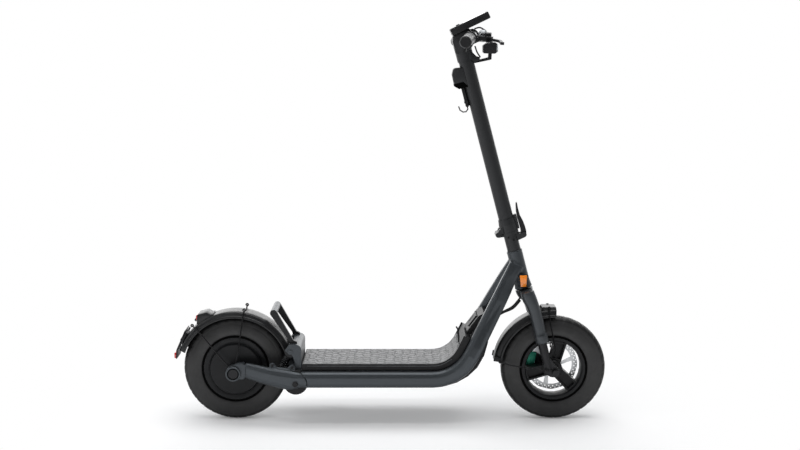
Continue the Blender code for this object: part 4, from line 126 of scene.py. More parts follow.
class Surface:
    """A procedural material and helpers for its nodes."""

    def __init__(self, name, color, roughness, levels):
        self.material = bpy.data.materials.new(name)
        self.material.use_nodes = True
        tree = self.material.node_tree
        self.add = partial(add_node, tree)
        self.shader = tree.nodes["Principled BSDF"]
        self.color, self.roughness = color, roughness
        for label, value in levels.items():
            self.shader.inputs[label].default_value = value
        self.coords = self.add("ShaderNodeTexCoord").outputs["Object"]

    def link(self, output, label):
        self.material.node_tree.links.new(output, self.shader.inputs[label])

    def noise(self, scale, detail=3.0, rough=0.5):
        inputs = {"Vector": self.coords, "Scale": scale, "Detail": detail, "Roughness": rough}
        return self.add("ShaderNodeTexNoise", inputs).outputs["Fac"]

    def tint(self, value, low, high, places=(0.3, 0.7)):
        """Base colour between a darker and a lighter tone of the surface's colour."""
        node = self.add("ShaderNodeValToRGB", {"Fac": value})
        for element, place, share in zip(node.color_ramp.elements, places, (low, high)):
            element.position = place
            element.color = (*(channel * share for channel in self.color), 1.0)
        self.link(node.outputs["Color"], "Base Color")

    def rough(self, value, spread):
        """Roughness that varies by the spread to both sides."""
        low = max(0.02, self.roughness - spread)
        high = min(1.0, self.roughness + spread)
        node = self.add("ShaderNodeMapRange", {"Value": value, "To Min": low, "To Max": high})
        self.link(node.outputs["Result"], "Roughness")

    def bump(self, value, distance, strength):
        node = self.add("ShaderNodeBump", {"Height": value, "Distance": distance, "Strength": strength})
        self.link(node.outputs["Normal"], "Normal")


def satin_paint(name, color, roughness, metallic, level=0.35):
    """Satin metallic paint with fine flakes and a slight orange peel."""
    s = Surface(name, color, roughness, {"Metallic": metallic, "Specular IOR Level": level})
    s.tint(s.noise(2600.0, 1.0), 0.80, 1.22)
    s.rough(s.noise(60.0, 4.0), 0.07)
    s.bump(s.noise(420.0, 2.0), 0.00004, 0.35)
    return s.material


def moulded(name, color, roughness=0.48, level=0.22, grain=900.0, depth=0.00006):
    """Moulded plastic with a fine grain."""
    s = Surface(name, color, roughness, {"Specular IOR Level": level})
    s.tint(s.noise(35.0, 4.0), 0.86, 1.14)
    s.rough(s.noise(120.0), 0.07)
    s.bump(s.noise(grain, 2.0), depth, 0.6)
    return s.material


def rubbery(name, color, roughness, level=0.20):
    """Matt rubber with faint dusting."""
    s = Surface(name, color, roughness, {"Specular IOR Level": level})
    s.tint(s.noise(28.0, 5.0, 0.6), 0.80, 1.25)
    s.rough(s.noise(70.0, 4.0), 0.08)
    s.bump(s.noise(500.0), 0.00010, 0.6)
    return s.material


def mat_rubber(name):
    """Pale worn rubber of the deck mat."""
    s = Surface(name, (0.150, 0.152, 0.155), 0.52, {"Specular IOR Level": 0.5})
    s.tint(s.noise(90.0, 5.0, 0.65), 0.74, 1.28)
    s.rough(s.noise(60.0, 4.0), 0.10)
    s.bump(s.noise(700.0), 0.00012, 0.6)
    return s.material


def bare_metal(name, color, roughness):
    """Bare metal with a fine grain."""
    s = Surface(name, color, roughness, {"Metallic": 1.0})
    grain = s.noise(900.0, 2.0, 0.6)
    s.tint(grain, 0.86, 1.10)
    s.rough(grain, 0.10)
    s.bump(grain, 0.00002, 0.4)
    return s.material


def turned_metal(name, color, centre):
    """Metal turned on a lathe about a Y axis through a centre."""
    s = Surface(name, color, 0.30, {"Metallic": 1.0})
    place = s.add("ShaderNodeMapping", {"Vector": s.coords, "Location": (-centre[0], 0.0, -centre[1])})
    inputs = {"Vector": place.outputs["Vector"], "Scale": 420.0, "Distortion": 1.5, "Detail": 2.0}
    rings = s.add("ShaderNodeTexWave", inputs, wave_type="RINGS", rings_direction="Y").outputs["Fac"]
    s.tint(rings, 0.84, 1.08)
    s.rough(s.noise(90.0), 0.08)
    s.bump(rings, 0.00002, 0.4)
    return s.material


def prismatic(name, color, painted_glow):
    """Reflector plastic: clear colour over small prisms, with a painted glow that stands in for light sent
    back.
    """
    levels = {"Coat Weight": 0.8, "Coat Roughness": 0.05}
    levels.update({"Emission Color": (*color, 1.0), "Emission Strength": painted_glow})
    s = Surface(name, color, 0.16, levels)
    inputs = {"Vector": s.coords, "Scale": 420.0, "Randomness": 0.0}
    cells = s.add("ShaderNodeTexVoronoi", inputs, feature="F1").outputs["Distance"]
    s.tint(cells, 0.72, 1.25, (0.1, 0.7))
    s.rough(s.noise(60.0), 0.05)
    s.bump(cells, 0.0004, 0.5)
    return s.material


def dark_glass(name):
    """Dark cover glass with faint smudges."""
    s = Surface(name, (0.006, 0.007, 0.008), 0.07, {"Coat Weight": 1.0, "Coat Roughness": 0.02})
    s.tint(s.noise(24.0, 4.0), 0.8, 1.3)
    s.rough(s.noise(30.0, 5.0, 0.7), 0.04)
    return s.material


def clear_lens(name):
    """Ribbed clear lens of the headlight."""
    levels = {"Coat Weight": 1.0, "Coat Roughness": 0.03, "Transmission Weight": 0.35}
    s = Surface(name, (0.75, 0.78, 0.80), 0.10, levels)
    inputs = {"Vector": s.coords, "Scale": 130.0}
    ribs = s.add("ShaderNodeTexWave", inputs, bands_direction="Y").outputs["Fac"]
    s.tint(ribs, 0.72, 1.05)
    s.rough(s.noise(50.0), 0.05)
    s.bump(ribs, 0.0006, 0.6)
    return s.material


# Each finish with its maker, name and colour, and then the maker's own values
FINISHES = (
    (satin_paint, "gunmetal", (0.052, 0.0585, 0.065), 0.38, 0.55),
    (satin_paint, "fork_metal", (0.048, 0.053, 0.058), 0.36, 0.5),
    (satin_paint, "dark_metal", (0.027, 0.028, 0.030), 0.42, 0.4),
    (satin_paint, "black_metal", (0.016, 0.0165, 0.018), 0.40, 0.4, 0.3),
    (satin_paint, "wheel_metal", (0.0105, 0.011, 0.012), 0.42, 0.3, 0.25),
    (satin_paint, "hub_face", (0.0070, 0.0072, 0.0078), 0.46, 0.15, 0.16),
    (satin_paint, "spring", (0.034, 0.035, 0.037), 0.26, 0.8),
    (satin_paint, "bolt", (0.009, 0.009, 0.010), 0.34, 0.4, 0.3),
    (satin_paint, "green", (0.035, 0.330, 0.215), 0.40, 0.35),
    (moulded, "black_plastic", (0.0125, 0.0128, 0.0138)),
    (moulded, "grey_plastic", (0.070, 0.072, 0.076)),
    (moulded, "fender", (0.0140, 0.0145, 0.0155), 0.34, 0.3, 700.0, 0.00002),
    # Near-black without reflection: painted shade for gaps and the bottoms of grooves
    (moulded, "gap", (0.003, 0.003, 0.003), 0.8, 0.0),
    (moulded, "blue_wrap", (0.03, 0.10, 0.22), 0.35),
    (rubbery, "tyre", (0.0100, 0.0100, 0.0103), 0.42, 0.30),
    # Painted sheen: the side walls are the tread's rubber made lighter to stand in for their sheen
    (rubbery, "sidewall", (0.0215, 0.0215, 0.0220), 0.42, 0.34),
    (rubbery, "grip", (0.045, 0.046, 0.048), 0.42, 0.5),
    (rubbery, "joint", (0.008, 0.008, 0.008), 0.85, 0.0),
    (rubbery, "rubber", (0.020, 0.020, 0.021), 0.62),
    (rubbery, "cable", (0.010, 0.010, 0.0105), 0.45),
    (bare_metal, "silver", (0.26, 0.27, 0.28), 0.34),
    (bare_metal, "copper", (0.70, 0.32, 0.16), 0.35),
    (turned_metal, "rotor", (0.44, 0.45, 0.46), FRONT),
    (turned_metal, "rear_rotor", (0.44, 0.45, 0.46), REAR),
    # Amber and red carry a painted glow on the reflectors, which are no lamps; red also covers the tail
    # light's lens, a lamp
    (prismatic, "amber", (0.86, 0.24, 0.02), 0.05),
    (prismatic, "red", (0.50, 0.012, 0.010), 0.03),
    (dark_glass, "glass"),
    (clear_lens, "lens"),
    (mat_rubber, "mat"),
)
FINISH = {name: make(name, *values) for make, name, *values in FINISHES}

# Nodes that keep the form of their solid, by finish
NODE_FINISH = {
    "gunmetal": "rear_bracket loop_handle",
    "dark_metal": "steering_base stem stem_foot handlebar_clamp",
    "black_metal": (
        "fork_lower_leg_right fork_lower_leg_left brake_perch_right brake_perch_left fold_latch_lever "
        "brake_lever_right brake_lever_left handlebar kickstand shock_body_right shock_body_left "
        "rear_axle front_axle shock_rod_right shock_rod_left"
    ),
    "bolt": "pivot_shaft",
    "wheel_metal": "front_rim hub_motor_shell",
    "black_plastic": (
        "deck_plate underbody_tray front_cover charge_port_cover display_housing throttle_housing "
        "throttle_paddle bag_hook headlight_housing bell_striker"
    ),
    "grey_plastic": "power_button",
    "grip": "grip_right grip_left",
    "silver": "bell",
    "green": "front_brake_caliper rear_brake_caliper",
    "glass": "display_glass",
    "lens": "headlight_lens",
}

# Edge rounding of the skins
SMALL_EDGE = 0.0005
EDGES = {
    "loop_handle": 0.0012, "rear_bracket": 0.0012, "display_housing": 0.0010, "deck_plate": 0.0010,
    "underbody_tray": 0.0012, "front_rim": 0.0010,
}


# Objects and meshes
def linked(name, data):
    """A new object of the scene."""
    item = bpy.data.objects.new(name, data)
    SCENE.collection.objects.link(item)
    return item


def paint(item, finish):
    """Give an object one finish."""
    item.data.materials.clear()
    item.data.materials.append(FINISH[finish])


def settle(item, finish, body, slot):
    """Finish a piece on its body; one with skin in its name replaces its slot's node."""
    paint(item, finish)
    if body:
        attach(item, body)
    if "_skin" in item.name:
        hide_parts(slot)
    return item


def piece(name, mesh, finish, body, slot, degrees=40):
    """A new piece with smooth shading up to an angle."""
    smooth(mesh, degrees)
    return settle(linked(name, mesh), finish, body, slot)


def modify(item, kind, **settings):
    """Add a modifier with its settings."""
    modifier = item.modifiers.new(kind.lower(), kind)
    for name, value in settings.items():
        setattr(modifier, name, value)


def evaluated_mesh(item):
    """A new mesh of an object as its modifiers leave it."""
    bpy.context.view_layer.update()
    graph = bpy.context.evaluated_depsgraph_get()
    return bpy.data.meshes.new_from_object(item.evaluated_get(graph))


def apply_modifiers(item):
    """Replace an object's mesh by its evaluated one and drop the modifiers."""
    mesh = evaluated_mesh(item)
    item.modifiers.clear()
    old = item.data
    item.data = mesh
    bpy.data.meshes.remove(old)


def smooth(mesh, degrees=40):
    """Smooth shading with sharp edges above an angle."""
    mesh.polygons.foreach_set("use_smooth", [True] * len(mesh.polygons))
    mesh.set_sharp_from_angle(angle=radians(degrees))


def finished(bm):
    """A new mesh from a bmesh, which is freed."""
    mesh = bpy.data.meshes.new("shape")
    bm.to_mesh(mesh)
    bm.free()
    return mesh


def node_bmesh(name):
    """A bmesh of a node with its double points merged."""
    bm = bmesh.new()
    bm.from_mesh(NODES[name].data)
    bmesh.ops.remove_doubles(bm, verts=bm.verts, dist=2e-6)
    return bm


def softened(name, finish, width):
    """A copy of a rigid solid with its hard edges rounded, in place of the node."""
    bm = node_bmesh(name)
    bmesh.ops.dissolve_limit(bm, angle_limit=radians(0.5), verts=bm.verts, edges=bm.edges)
    mesh = finished(bm)
    for layer in list(mesh.attributes):
        if layer.name.startswith("custom_normal"):
            mesh.attributes.remove(layer)
    item = linked(name + "_skin", mesh)
    smooth(mesh, 38)
    modify(
        item, "BEVEL", width=width, segments=2, limit_method="ANGLE", angle_limit=radians(33),
        miter_outer="MITER_ARC", harden_normals=True,
    )
    apply_modifiers(item)
    return settle(item, finish, NODES[name]["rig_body"], name)


def cast(name, finish, mesh, voxel, loops, ratio=0.3, weight=lambda co: 1.0):
    """A welded or cast node from closed meshes, with its inner corners filled where the weight is high."""
    item = linked(name + "_skin", mesh)
    modify(item, "REMESH", mode="VOXEL", voxel_size=voxel)
    apply_modifiers(item)
    group = item.vertex_groups.new(name="weld")
    for vertex in item.data.vertices:
        group.add([vertex.index], weight(vertex.co), "REPLACE")
    modify(item, "SMOOTH", factor=0.5, iterations=loops, vertex_group="weld")
    modify(item, "DECIMATE", ratio=ratio)
    apply_modifiers(item)
    smooth(item.data, 50)
    return settle(item, finish, NODES[name]["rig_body"], name)


def half_width(node):
    """Distance of a node's outer side from the middle plane."""
    low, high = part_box(node)
    return max(abs(low[1]), abs(high[1]))


def two_tone(item, finish, test):
    """Give a second finish to the faces whose centre passes a test."""
    item.data.materials.append(FINISH[finish])
    for face in item.data.polygons:
        if test(face.center):
            face.material_index = len(item.data.materials) - 1


SKINS = {}
for finish_name, members in NODE_FINISH.items():
    for node_name in members.split():
        SKINS[node_name] = softened(node_name, finish_name, EDGES.get(node_name, SMALL_EDGE))

# Nodes inside the others are shown as they are
paint(NODES["motor_stator"], "copper")
paint(NODES["battery_pack"], "blue_wrap")


# Round pieces and wires
def turns(count, shift=0.0):
    """Evenly spread angles of a full turn."""
    return [2 * pi * (k + shift) / count for k in range(count)]


def lofted_rings(rings, closed=False):
    """A mesh through rings of points with the same count, closed on itself or with two end faces."""
    bm = bmesh.new()
    rows = [[bm.verts.new(point) for point in ring] for ring in rings]
    if closed:
        rows.append(rows[0])
    count = len(rows[0])
    for low, high in zip(rows, rows[1:]):
        for i in range(count):
            j = (i + 1) % count
            bm.faces.new((low[i], low[j], high[j], high[i]))
    if not closed:
        bm.faces.new(rows[0][::-1])
        bm.faces.new(rows[-1])
    bmesh.ops.recalc_face_normals(bm, faces=bm.faces)
    return finished(bm)


def polar(centre, radius, turn):
    """Point of the side view, as x and z, at a distance and an angle from a centre."""
    return centre[0] + radius * cos(turn), centre[1] + radius * sin(turn)


def about_y(section, centre, turn):
    """A section, as radius and y, at an angle about a Y axis."""
    return [(centre[0] + r * cos(turn), y, centre[1] + r * sin(turn)) for r, y in section]


def wheel_mesh(profile, centre, steps, shape=None):
    """A closed section, as radius and y, turned about a Y axis; shape moves single points."""
    rings = []
    for turn in turns(steps):
        section = [shape(radius, y, turn) for radius, y in profile] if shape else profile
        rings.append(about_y(section, centre, turn))
    return lofted_rings(rings, closed=True)


def curve_through(points, count):
    """Points evenly spread along a smooth curve through the given ones."""
    knots = np.array([tuple(point) for point in points], float)
    ends = np.vstack([2 * knots[0] - knots[1], knots, 2 * knots[-1] - knots[-2]])
    dense = []
    for i in range(1, len(ends) - 2):
        a, b, c, d = ends[i - 1:i + 3]
        square = 2 * a - 5 * b + 4 * c - d
        cube = 3 * b - a - 3 * c + d
        for t in np.linspace(0.0, 1.0, 24, endpoint=False):
            dense.append(0.5 * (2 * b + (c - a) * t + square * t * t + cube * t ** 3))
    dense.append(knots[-1])
    dense = np.array(dense)
    lengths = np.concatenate([[0.0], np.cumsum(np.linalg.norm(np.diff(dense, axis=0), axis=1))])
    places = np.linspace(0.0, lengths[-1], count)
    return np.stack([np.interp(places, lengths, dense[:, k]) for k in range(dense.shape[1])], axis=1)


def circle(middle, one, other, radius, count, shift=0.0):
    """Points round a middle in the plane of two directions."""
    return [middle + (one * cos(turn) + other * sin(turn)) * radius for turn in turns(count, shift)]


def tube_mesh(points, radius, sides):
    """A round tube along points, with closed ends."""
    points = [Vector(point) for point in points]
    side = None
    rings = []
    for i, point in enumerate(points):
        before = points[max(0, i - 1)]
        after = points[min(len(points) - 1, i + 1)]
        ahead = (after - before).normalized()
        if side is None:
            side = ahead.orthogonal().normalized()
        side = (side - ahead * side.dot(ahead)).normalized()
        rings.append(circle(point, side, ahead.cross(side), radius, sides))
    return lofted_rings(rings)


def wire(name, points, radius, finish, body, slot, count, sides):
    """A wire, stay or thin line along a smooth curve."""
    piece(name, tube_mesh(curve_through(points, count), radius, sides), finish, body, slot, 60)


def turned_mesh(profile, base, direction, sides):
    """A turned solid from radius and height pairs, standing on a base point along a direction."""
    up = Vector(direction).normalized()
    side = up.orthogonal().normalized()
    base = Vector(base)
    return lofted_rings([
        circle(base + up * height, side, up.cross(side), radius, sides, 0.5) for radius, height in profile
    ])


def opened(*meshes):
    """One bmesh from some meshes, which are removed."""
    bm = bmesh.new()
    for mesh in meshes:
        bm.from_mesh(mesh)
        bpy.data.meshes.remove(mesh)
    return bm


def bolt_mesh(base, direction, radius, height, sides):
    """A bolt head with a chamfered edge and a sunk socket."""
    edge = radius * 0.14
    profile = [(radius, 0.0), (radius, height - edge), (radius - edge, height)]
    profile += [(radius * 0.52, height), (radius * 0.48, height * 0.35)]
    return turned_mesh(profile, base, direction, sides)


def bolts(name, places, body, slot):
    """Bolt heads in one piece; each place is base, direction, radius, height and sides."""
    heads = opened(*(bolt_mesh(*place) for place in places))
    piece(name, finished(heads), "bolt", body, slot, 35)


def side_plate(name, outline, y_one, y_two, finish, body, slot, edge=0.0008, holes=()):
    """A plate from a side view outline, as x and z, between two y values, with rounded edges."""
    curve = bpy.data.curves.new(name, "CURVE")
    curve.dimensions = "2D"
    curve.fill_mode = "BOTH"
    curve.extrude = abs(y_two - y_one) / 2
    for ring in (outline, *holes):
        spline = curve.splines.new("POLY")
        spline.points.add(len(ring) - 1)
        for place, (x, z) in zip(spline.points, ring):
            place.co = (x, z, 0.0, 1.0)
        spline.use_cyclic_u = True
    flat = linked(name, curve)
    mesh = evaluated_mesh(flat)
    bpy.data.objects.remove(flat)
    upright = Matrix(((1, 0, 0, 0), (0, 0, -1, 0), (0, 1, 0, 0), (0, 0, 0, 1)))
    mesh.transform(Matrix.Translation((0.0, (y_one + y_two) / 2, 0.0)) @ upright)
    bm = opened(mesh)
    bmesh.ops.remove_doubles(bm, verts=bm.verts, dist=1e-6)
    bmesh.ops.recalc_face_normals(bm, faces=bm.faces)
    item = linked(name, finished(bm))
    smooth(item.data)
    if edge:
        modify(item, "BEVEL", width=edge, segments=2, limit_method="ANGLE", angle_limit=radians(40))
        apply_modifiers(item)
        smooth(item.data)
    settle(item, finish, body, slot)


def arc(centre, radius, start, end, count):
    """Points of an arc in the side view."""
    return [polar(centre, radius, start + (end - start) * i / (count - 1)) for i in range(count)]


def hole(centre, radius, count):
    """Points of a circle in the side view."""
    return [polar(centre, radius, turn) for turn in turns(count)]


# Welded frame, fork and arm
LEG_Y = 0.057
PIVOT = (-0.278, 0.136)


def frame_shape(co):
    """Draw the ends of the frame tubes in to the head tube."""
    head_tube_half, zone_across, zone_along = 0.0255, -0.115, -0.22
    across, along = along_head(co)
    side = abs(co.y)
    if side < head_tube_half or across < zone_across or along < zone_along:
        return co
    limit = 0.0250 + 0.62 * max(0.0, -across - 0.008)
    if side > limit:
        side = limit + (side - limit) * 0.12
    return Vector((co.x, copysign(side, co.y), co.z))


def weld_weight(co):
    """Weld fillets of the frame round the head tube, away from its machined ends."""
    top_face, low_face, weld_reach = -0.005, -0.113, 0.065
    across, along = along_head(co)
    if not low_face <= along <= top_face:
        return 0.0
    return 1.0 if hypot(across, co.y) < weld_reach else 0.12


def crown_weight(co):
    """Cast blend of the fork legs into the crown, away from the seams."""
    crown_top, crown_low = -0.1235, -0.215
    along = along_head(co)[1]
    if along > crown_top:
        return 0.0
    return 1.0 if along > crown_low else 0.15


def head_ring(middle, half_across, half_y, along, y, count, power):
    """A rounded section across the steering axis."""
    ring = []
    for turn in turns(count):
        side = copysign(abs(cos(turn)) ** (2 / power), cos(turn))
        out = copysign(abs(sin(turn)) ** (2 / power), sin(turn))
        ring.append(from_head(middle + side * half_across, along, y + out * half_y))
    return ring


def fork_loft(sections, y, count, power):
    """A closed mesh through sections of along, rear edge, front edge and half width."""
    return lofted_rings([
        head_ring((rear + front) / 2, (front - rear) / 2, half_y, along, y, count, power)
        for along, rear, front, half_y in sections
    ])


def fork_meshes():
    """Closed meshes of both upper legs, the crown and the steerer tube, which overlap."""
    leg = (
        (-0.1215, -0.0150, 0.0245, 0.0190), (-0.1300, -0.0160, 0.0256, 0.0200),
        (-0.1400, -0.0160, 0.0270, 0.0203), (-0.1490, -0.0150, 0.0280, 0.0202),
        (-0.1600, -0.0112, 0.0290, 0.0200), (-0.1730, -0.0090, 0.0298, 0.0194),
        (-0.1880, -0.0074, 0.0302, 0.0188), (-0.2150, -0.0060, 0.0304, 0.0184),
        (-0.2530, -0.0064, 0.0296, 0.0181), (-0.2570, -0.0074, 0.0308, 0.0190),
        (-0.2600, -0.0084, 0.0320, 0.0203), (-0.2790, -0.0086, 0.0322, 0.0204),
        (-0.2830, -0.0070, 0.0306, 0.0190), (-0.2850, -0.0050, 0.0286, 0.0170),
    )
    bridge = (
        (-0.1215, -0.0140, 0.0245, 0.060), (-0.1290, -0.0145, 0.0252, 0.062),
        (-0.1380, -0.0145, 0.0262, 0.062), (-0.1460, -0.0130, 0.0262, 0.060),
        (-0.1500, -0.0110, 0.0230, 0.057),
    )
    cone = ((-0.1540, 0.0150), (-0.1470, 0.0212), (-0.1390, 0.0240), (-0.1310, 0.0260), (-0.1215, 0.0266))
    steerer = (
        (-0.135, 0.0140), (-0.112, 0.0140), (-0.110, 0.0122), (-0.008, 0.0122), (-0.006, 0.0140),
        (0.028, 0.0140),
    )
    meshes = [fork_loft(leg, side * LEG_Y, 32, 2.2) for side, _ in SIDES]
    meshes.append(fork_loft(bridge, 0.0, 48, 4.0))
    for rounds, count in ((cone, 40), (steerer, 28)):
        meshes.append(fork_loft([(along, -r, r, r) for along, r in rounds], 0.0, count, 2.0))
    return meshes


frame_form = node_bmesh("main_frame")
for vertex in frame_form.verts:
    vertex.co = frame_shape(vertex.co)
cast("main_frame", "gunmetal", finished(frame_form), 0.0021, 16, 0.34, weld_weight)
crown_mesh = finished(opened(*fork_meshes()))
cast("fork_crown", "fork_metal", crown_mesh, 0.0014, 10, weight=crown_weight)
swing_arm = cast("swing_arm", "gunmetal", finished(node_bmesh("swing_arm")), 0.0017, 3)
two_tone(swing_arm, "bolt", lambda co: co.z < 0.1100 and co.x > -0.315)

# Painted shade: a dark rubber ring fills the seam between the arm and the frame tubes, where the seam lies in
# shade
for side, side_name in SIDES:
    shade_ring_foot = (PIVOT[0], side * 0.084, PIVOT[1])
    shade_ring = turned_mesh(((0.0362, 0.0), (0.0362, 0.018)), shade_ring_foot, (0, side, 0), 48)
    piece("pivot_seal_" + side_name, shade_ring, "rubber", "chassis", "main_frame")


# Tyres
TYRE_RADIUS = 0.159
TYRE_STEPS = 340
TREAD_GROOVES = 34
GROOVE_DEPTH = 0.0018
GROOVE_LEAN = 26.0
SHOULDER = 0.1400
PAINTED_SHEEN_BAND = (0.1040, 0.1475)


def tyre_section():
    """Closed section of the tyre, as radius and y."""
    half = [
        (TYRE_RADIUS, 0.0), (0.15865, 0.0090), (0.1563, 0.0165), (0.1516, 0.0214), (0.1445, 0.0244),
        (0.1355, 0.0268), (0.1255, 0.0284), (0.1160, 0.0289), (0.1070, 0.0276), (0.1005, 0.0246),
        (0.0975, 0.0222),
    ]
    upper = [tuple(point) for point in curve_through(half, 44)] + [(0.0926, 0.0215), (0.0926, 0.0)]
    return upper + [(radius, -y) for radius, y in reversed(upper[1:-1])]


def share_of(value, width):
    """A value's share of a width, from 0 to 1."""
    return min(1.0, max(0.0, value / width))


def tread(radius, y, turn):
    """Slanting grooves over the shoulders, a line round each, and two lines on the side wall."""
    size = abs(y)
    if radius > SHOULDER:
        phase = turn * TREAD_GROOVES / (2 * pi) + size * GROOVE_LEAN + (0.5 if y > 0 else 0.0)
        groove = share_of(0.13 - abs(phase - round(phase)), 0.04)
        groove *= share_of(size - 0.0035, 0.002) * share_of(radius - 0.1455, 0.003)
        line = share_of(0.0012 - abs(size - 0.0105), 0.0006) * 0.7
        return radius - GROOVE_DEPTH * max(groove, line), y
    for place, rise in ((0.1385, -0.0005), (0.1062, 0.0005)):
        if abs(radius - place) < 0.0011:
            return radius, y + (rise if y > 0 else -rise)
    return radius, y


for end, centre in (("rear", REAR), ("front", FRONT)):
    node = end + "_tyre"
    tyre_mesh = wheel_mesh(tyre_section(), centre, TYRE_STEPS, tread)
    tyre = piece(node + "_skin", tyre_mesh, "tyre", end + "_wheel", node, 48)
    # Painted sheen: a lighter rubber on the side walls stands in for the sheen that lights them
    two_tone(tyre, "sidewall", lambda co: PAINTED_SHEEN_BAND[0] < from_axle(co, centre) < PAINTED_SHEEN_BAND[1])


# Brake discs
def make_rotor(node, centre, radius, y, finish, body):
    """Disc with two rows of holes, swept arms and a bored centre."""
    half_thickness = 0.0010
    band, hub, bore = 0.0150, 0.0250, 0.0175
    holes_in_row, arms, sweep = 36, 6, 0.22
    edge_waves, wave_height = 12, 0.0006
    holes = []
    for row, (inset, size) in enumerate(((0.0042, 0.0017), (0.0094, 0.0019))):
        for turn in turns(holes_in_row, 0.5 * row):
            holes.append(hole(polar(centre, radius - inset, turn), size, 10))
    for i in range(arms):
        start = 2 * pi * i / arms + 0.16
        end = 2 * pi * (i + 1) / arms - 0.06
        opening = arc(centre, radius - band - 0.0015, start + sweep, end + sweep, 9)
        holes.append(opening + arc(centre, hub, start + 0.05, end - 0.12, 6)[::-1])
    holes.append(hole(centre, bore, 28))
    outer = []
    for turn in turns(144):
        outer.append(polar(centre, radius - wave_height + wave_height * cos(edge_waves * turn), turn))
    faces = (y - half_thickness, y + half_thickness)
    side_plate(node + "_skin", outer, *faces, finish, body, node, 0.0, holes)


make_rotor("front_brake_disc", FRONT, 0.080, 0.0337, "rotor", "front_wheel")
make_rotor("rear_brake_disc", REAR, 0.070, 0.0475, "rear_rotor", "rear_wheel")

# Shock springs
SHOCK_LOW = Vector((-0.3256, 0.0, 0.1669))
SHOCK_HIGH = Vector((-0.2955, 0.0, 0.2235))
SHOCK_Y = 0.055


def make_spring(side, name):
    """Coil spring between the perches, which shortens with the damper."""
    wire_radius, coil_radius = 0.0017, 0.0108
    free_turns, dead_turns, count = 5.5, 0.75, 150
    axis = SHOCK_HIGH - SHOCK_LOW
    low = 0.0120 + wire_radius
    high = axis.length - 0.0155 - wire_radius
    axis.normalize()
    third = axis.cross(LEFT)
    base = SHOCK_LOW + LEFT * side * SHOCK_Y
    points = []
    for i in range(count + 1):
        at = i / count * (free_turns + 2 * dead_turns)
        level = low + (high - low) * share_of(at - dead_turns, free_turns)
        out = (LEFT * cos(at * 2 * pi) + third * sin(at * 2 * pi)) * coil_radius
        points.append(base + axis * level + out)
    node = "shock_spring_" + name
    item = piece(node + "_skin", tube_mesh(points, wire_radius, 8), "spring", None, node, 70)
    ends = tuple(base + axis * low), tuple(base + axis * high)
    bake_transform(item, "damper_rod_" + name, "damper_" + name, *ends)


for side, side_name in SIDES:
    make_spring(side, side_name)

# Fenders
REAR_FENDER = 0.1782
FRONT_FENDER = 0.1832


def fender(node, centre, radius, half, skirt, start, end, body):
    """Fender shell with a steep side wall and a rolled lip, narrower at both ends."""
    steps, end_steps, narrowing = 84, 3, 0.06
    outer = [
        (skirt - 0.0002, half - 0.0012), (skirt + 0.0004, half - 0.0002), (skirt + 0.0030, half + 0.0002),
        (skirt + 0.0056, half - 0.0004), (skirt + 0.0070, half - 0.0018), (skirt + 0.0076, half - 0.0030),
        (radius - 0.0070, half - 0.0046), (radius - 0.0032, half - 0.0062), (radius - 0.0010, half - 0.0094),
        (radius - 0.0001, half - 0.0140), (radius, half * 0.33),
    ]
    inner = [
        (radius - 0.0024, half * 0.33), (radius - 0.0026, half - 0.0140), (radius - 0.0060, half - 0.0088),
        (skirt + 0.0070, half - 0.0056), (skirt + 0.0004, half - 0.0030),
    ]
    section = outer + [(r, -y) for r, y in outer[::-1] + inner[::-1]] + inner
    rings = []
    for step in range(steps + 1):
        turn = start + (end - start) * step / steps
        close = min(step, steps - step) / end_steps
        narrow = 1.0 - narrowing * max(0.0, 1.0 - close) ** 2
        rings.append(about_y([(r, y * narrow) for r, y in section], centre, turn))
    piece(node + "_skin", lofted_rings(rings), "fender", body, node, 42)


def fender_points(centre, radius, *places):
    """Points of the side view at angles in degrees and at heights over a fender."""
    return [Vector(polar(centre, radius + out, radians(degrees))) for degrees, out in places]


fender("rear_fender", REAR, REAR_FENDER, 0.0405, 0.1590, radians(16), radians(161), "rear_arm")
fender("front_fender", FRONT, FRONT_FENDER, 0.0345, 0.1602, radians(88), radians(172), "fork_lowers")
rear_points = partial(fender_points, REAR, REAR_FENDER)

# Tail light housing and lens
tail_top, tail_low = rear_points((123.9, 0.0238), (129.4, 0.0032))
tail_outline = [tail_top, tail_low] + rear_points(
    (129.4, -0.006), (121.0, -0.006), (113.0, -0.006), (111.0, 0.0030), (113.4, 0.0052), (115.5, 0.0148),
    (116.6, 0.0172),
)
side_plate("tail_light_housing", tail_outline, -0.029, 0.029, "fender", "rear_arm", "rear_fender", 0.0016)
tail_run = (tail_low - tail_top).normalized()
tail_away = Vector((tail_run.y, -tail_run.x))
lens_high = tail_top + tail_run * 0.0016
lens_low = tail_top + tail_run * 0.0165
lens_form = ((1, -0.0010), (0, -0.0010), (0, 0.0022), (0.25, 0.0038), (0.8, 0.0038), (1, 0.0024))
lens_outline = [lens_low.lerp(lens_high, share) + tail_away * out for share, out in lens_form]
side_plate(
    "tail_light_lens_skin", lens_outline, -0.0262, 0.0262, "red", "rear_arm", "tail_light_lens", 0.0010,
)

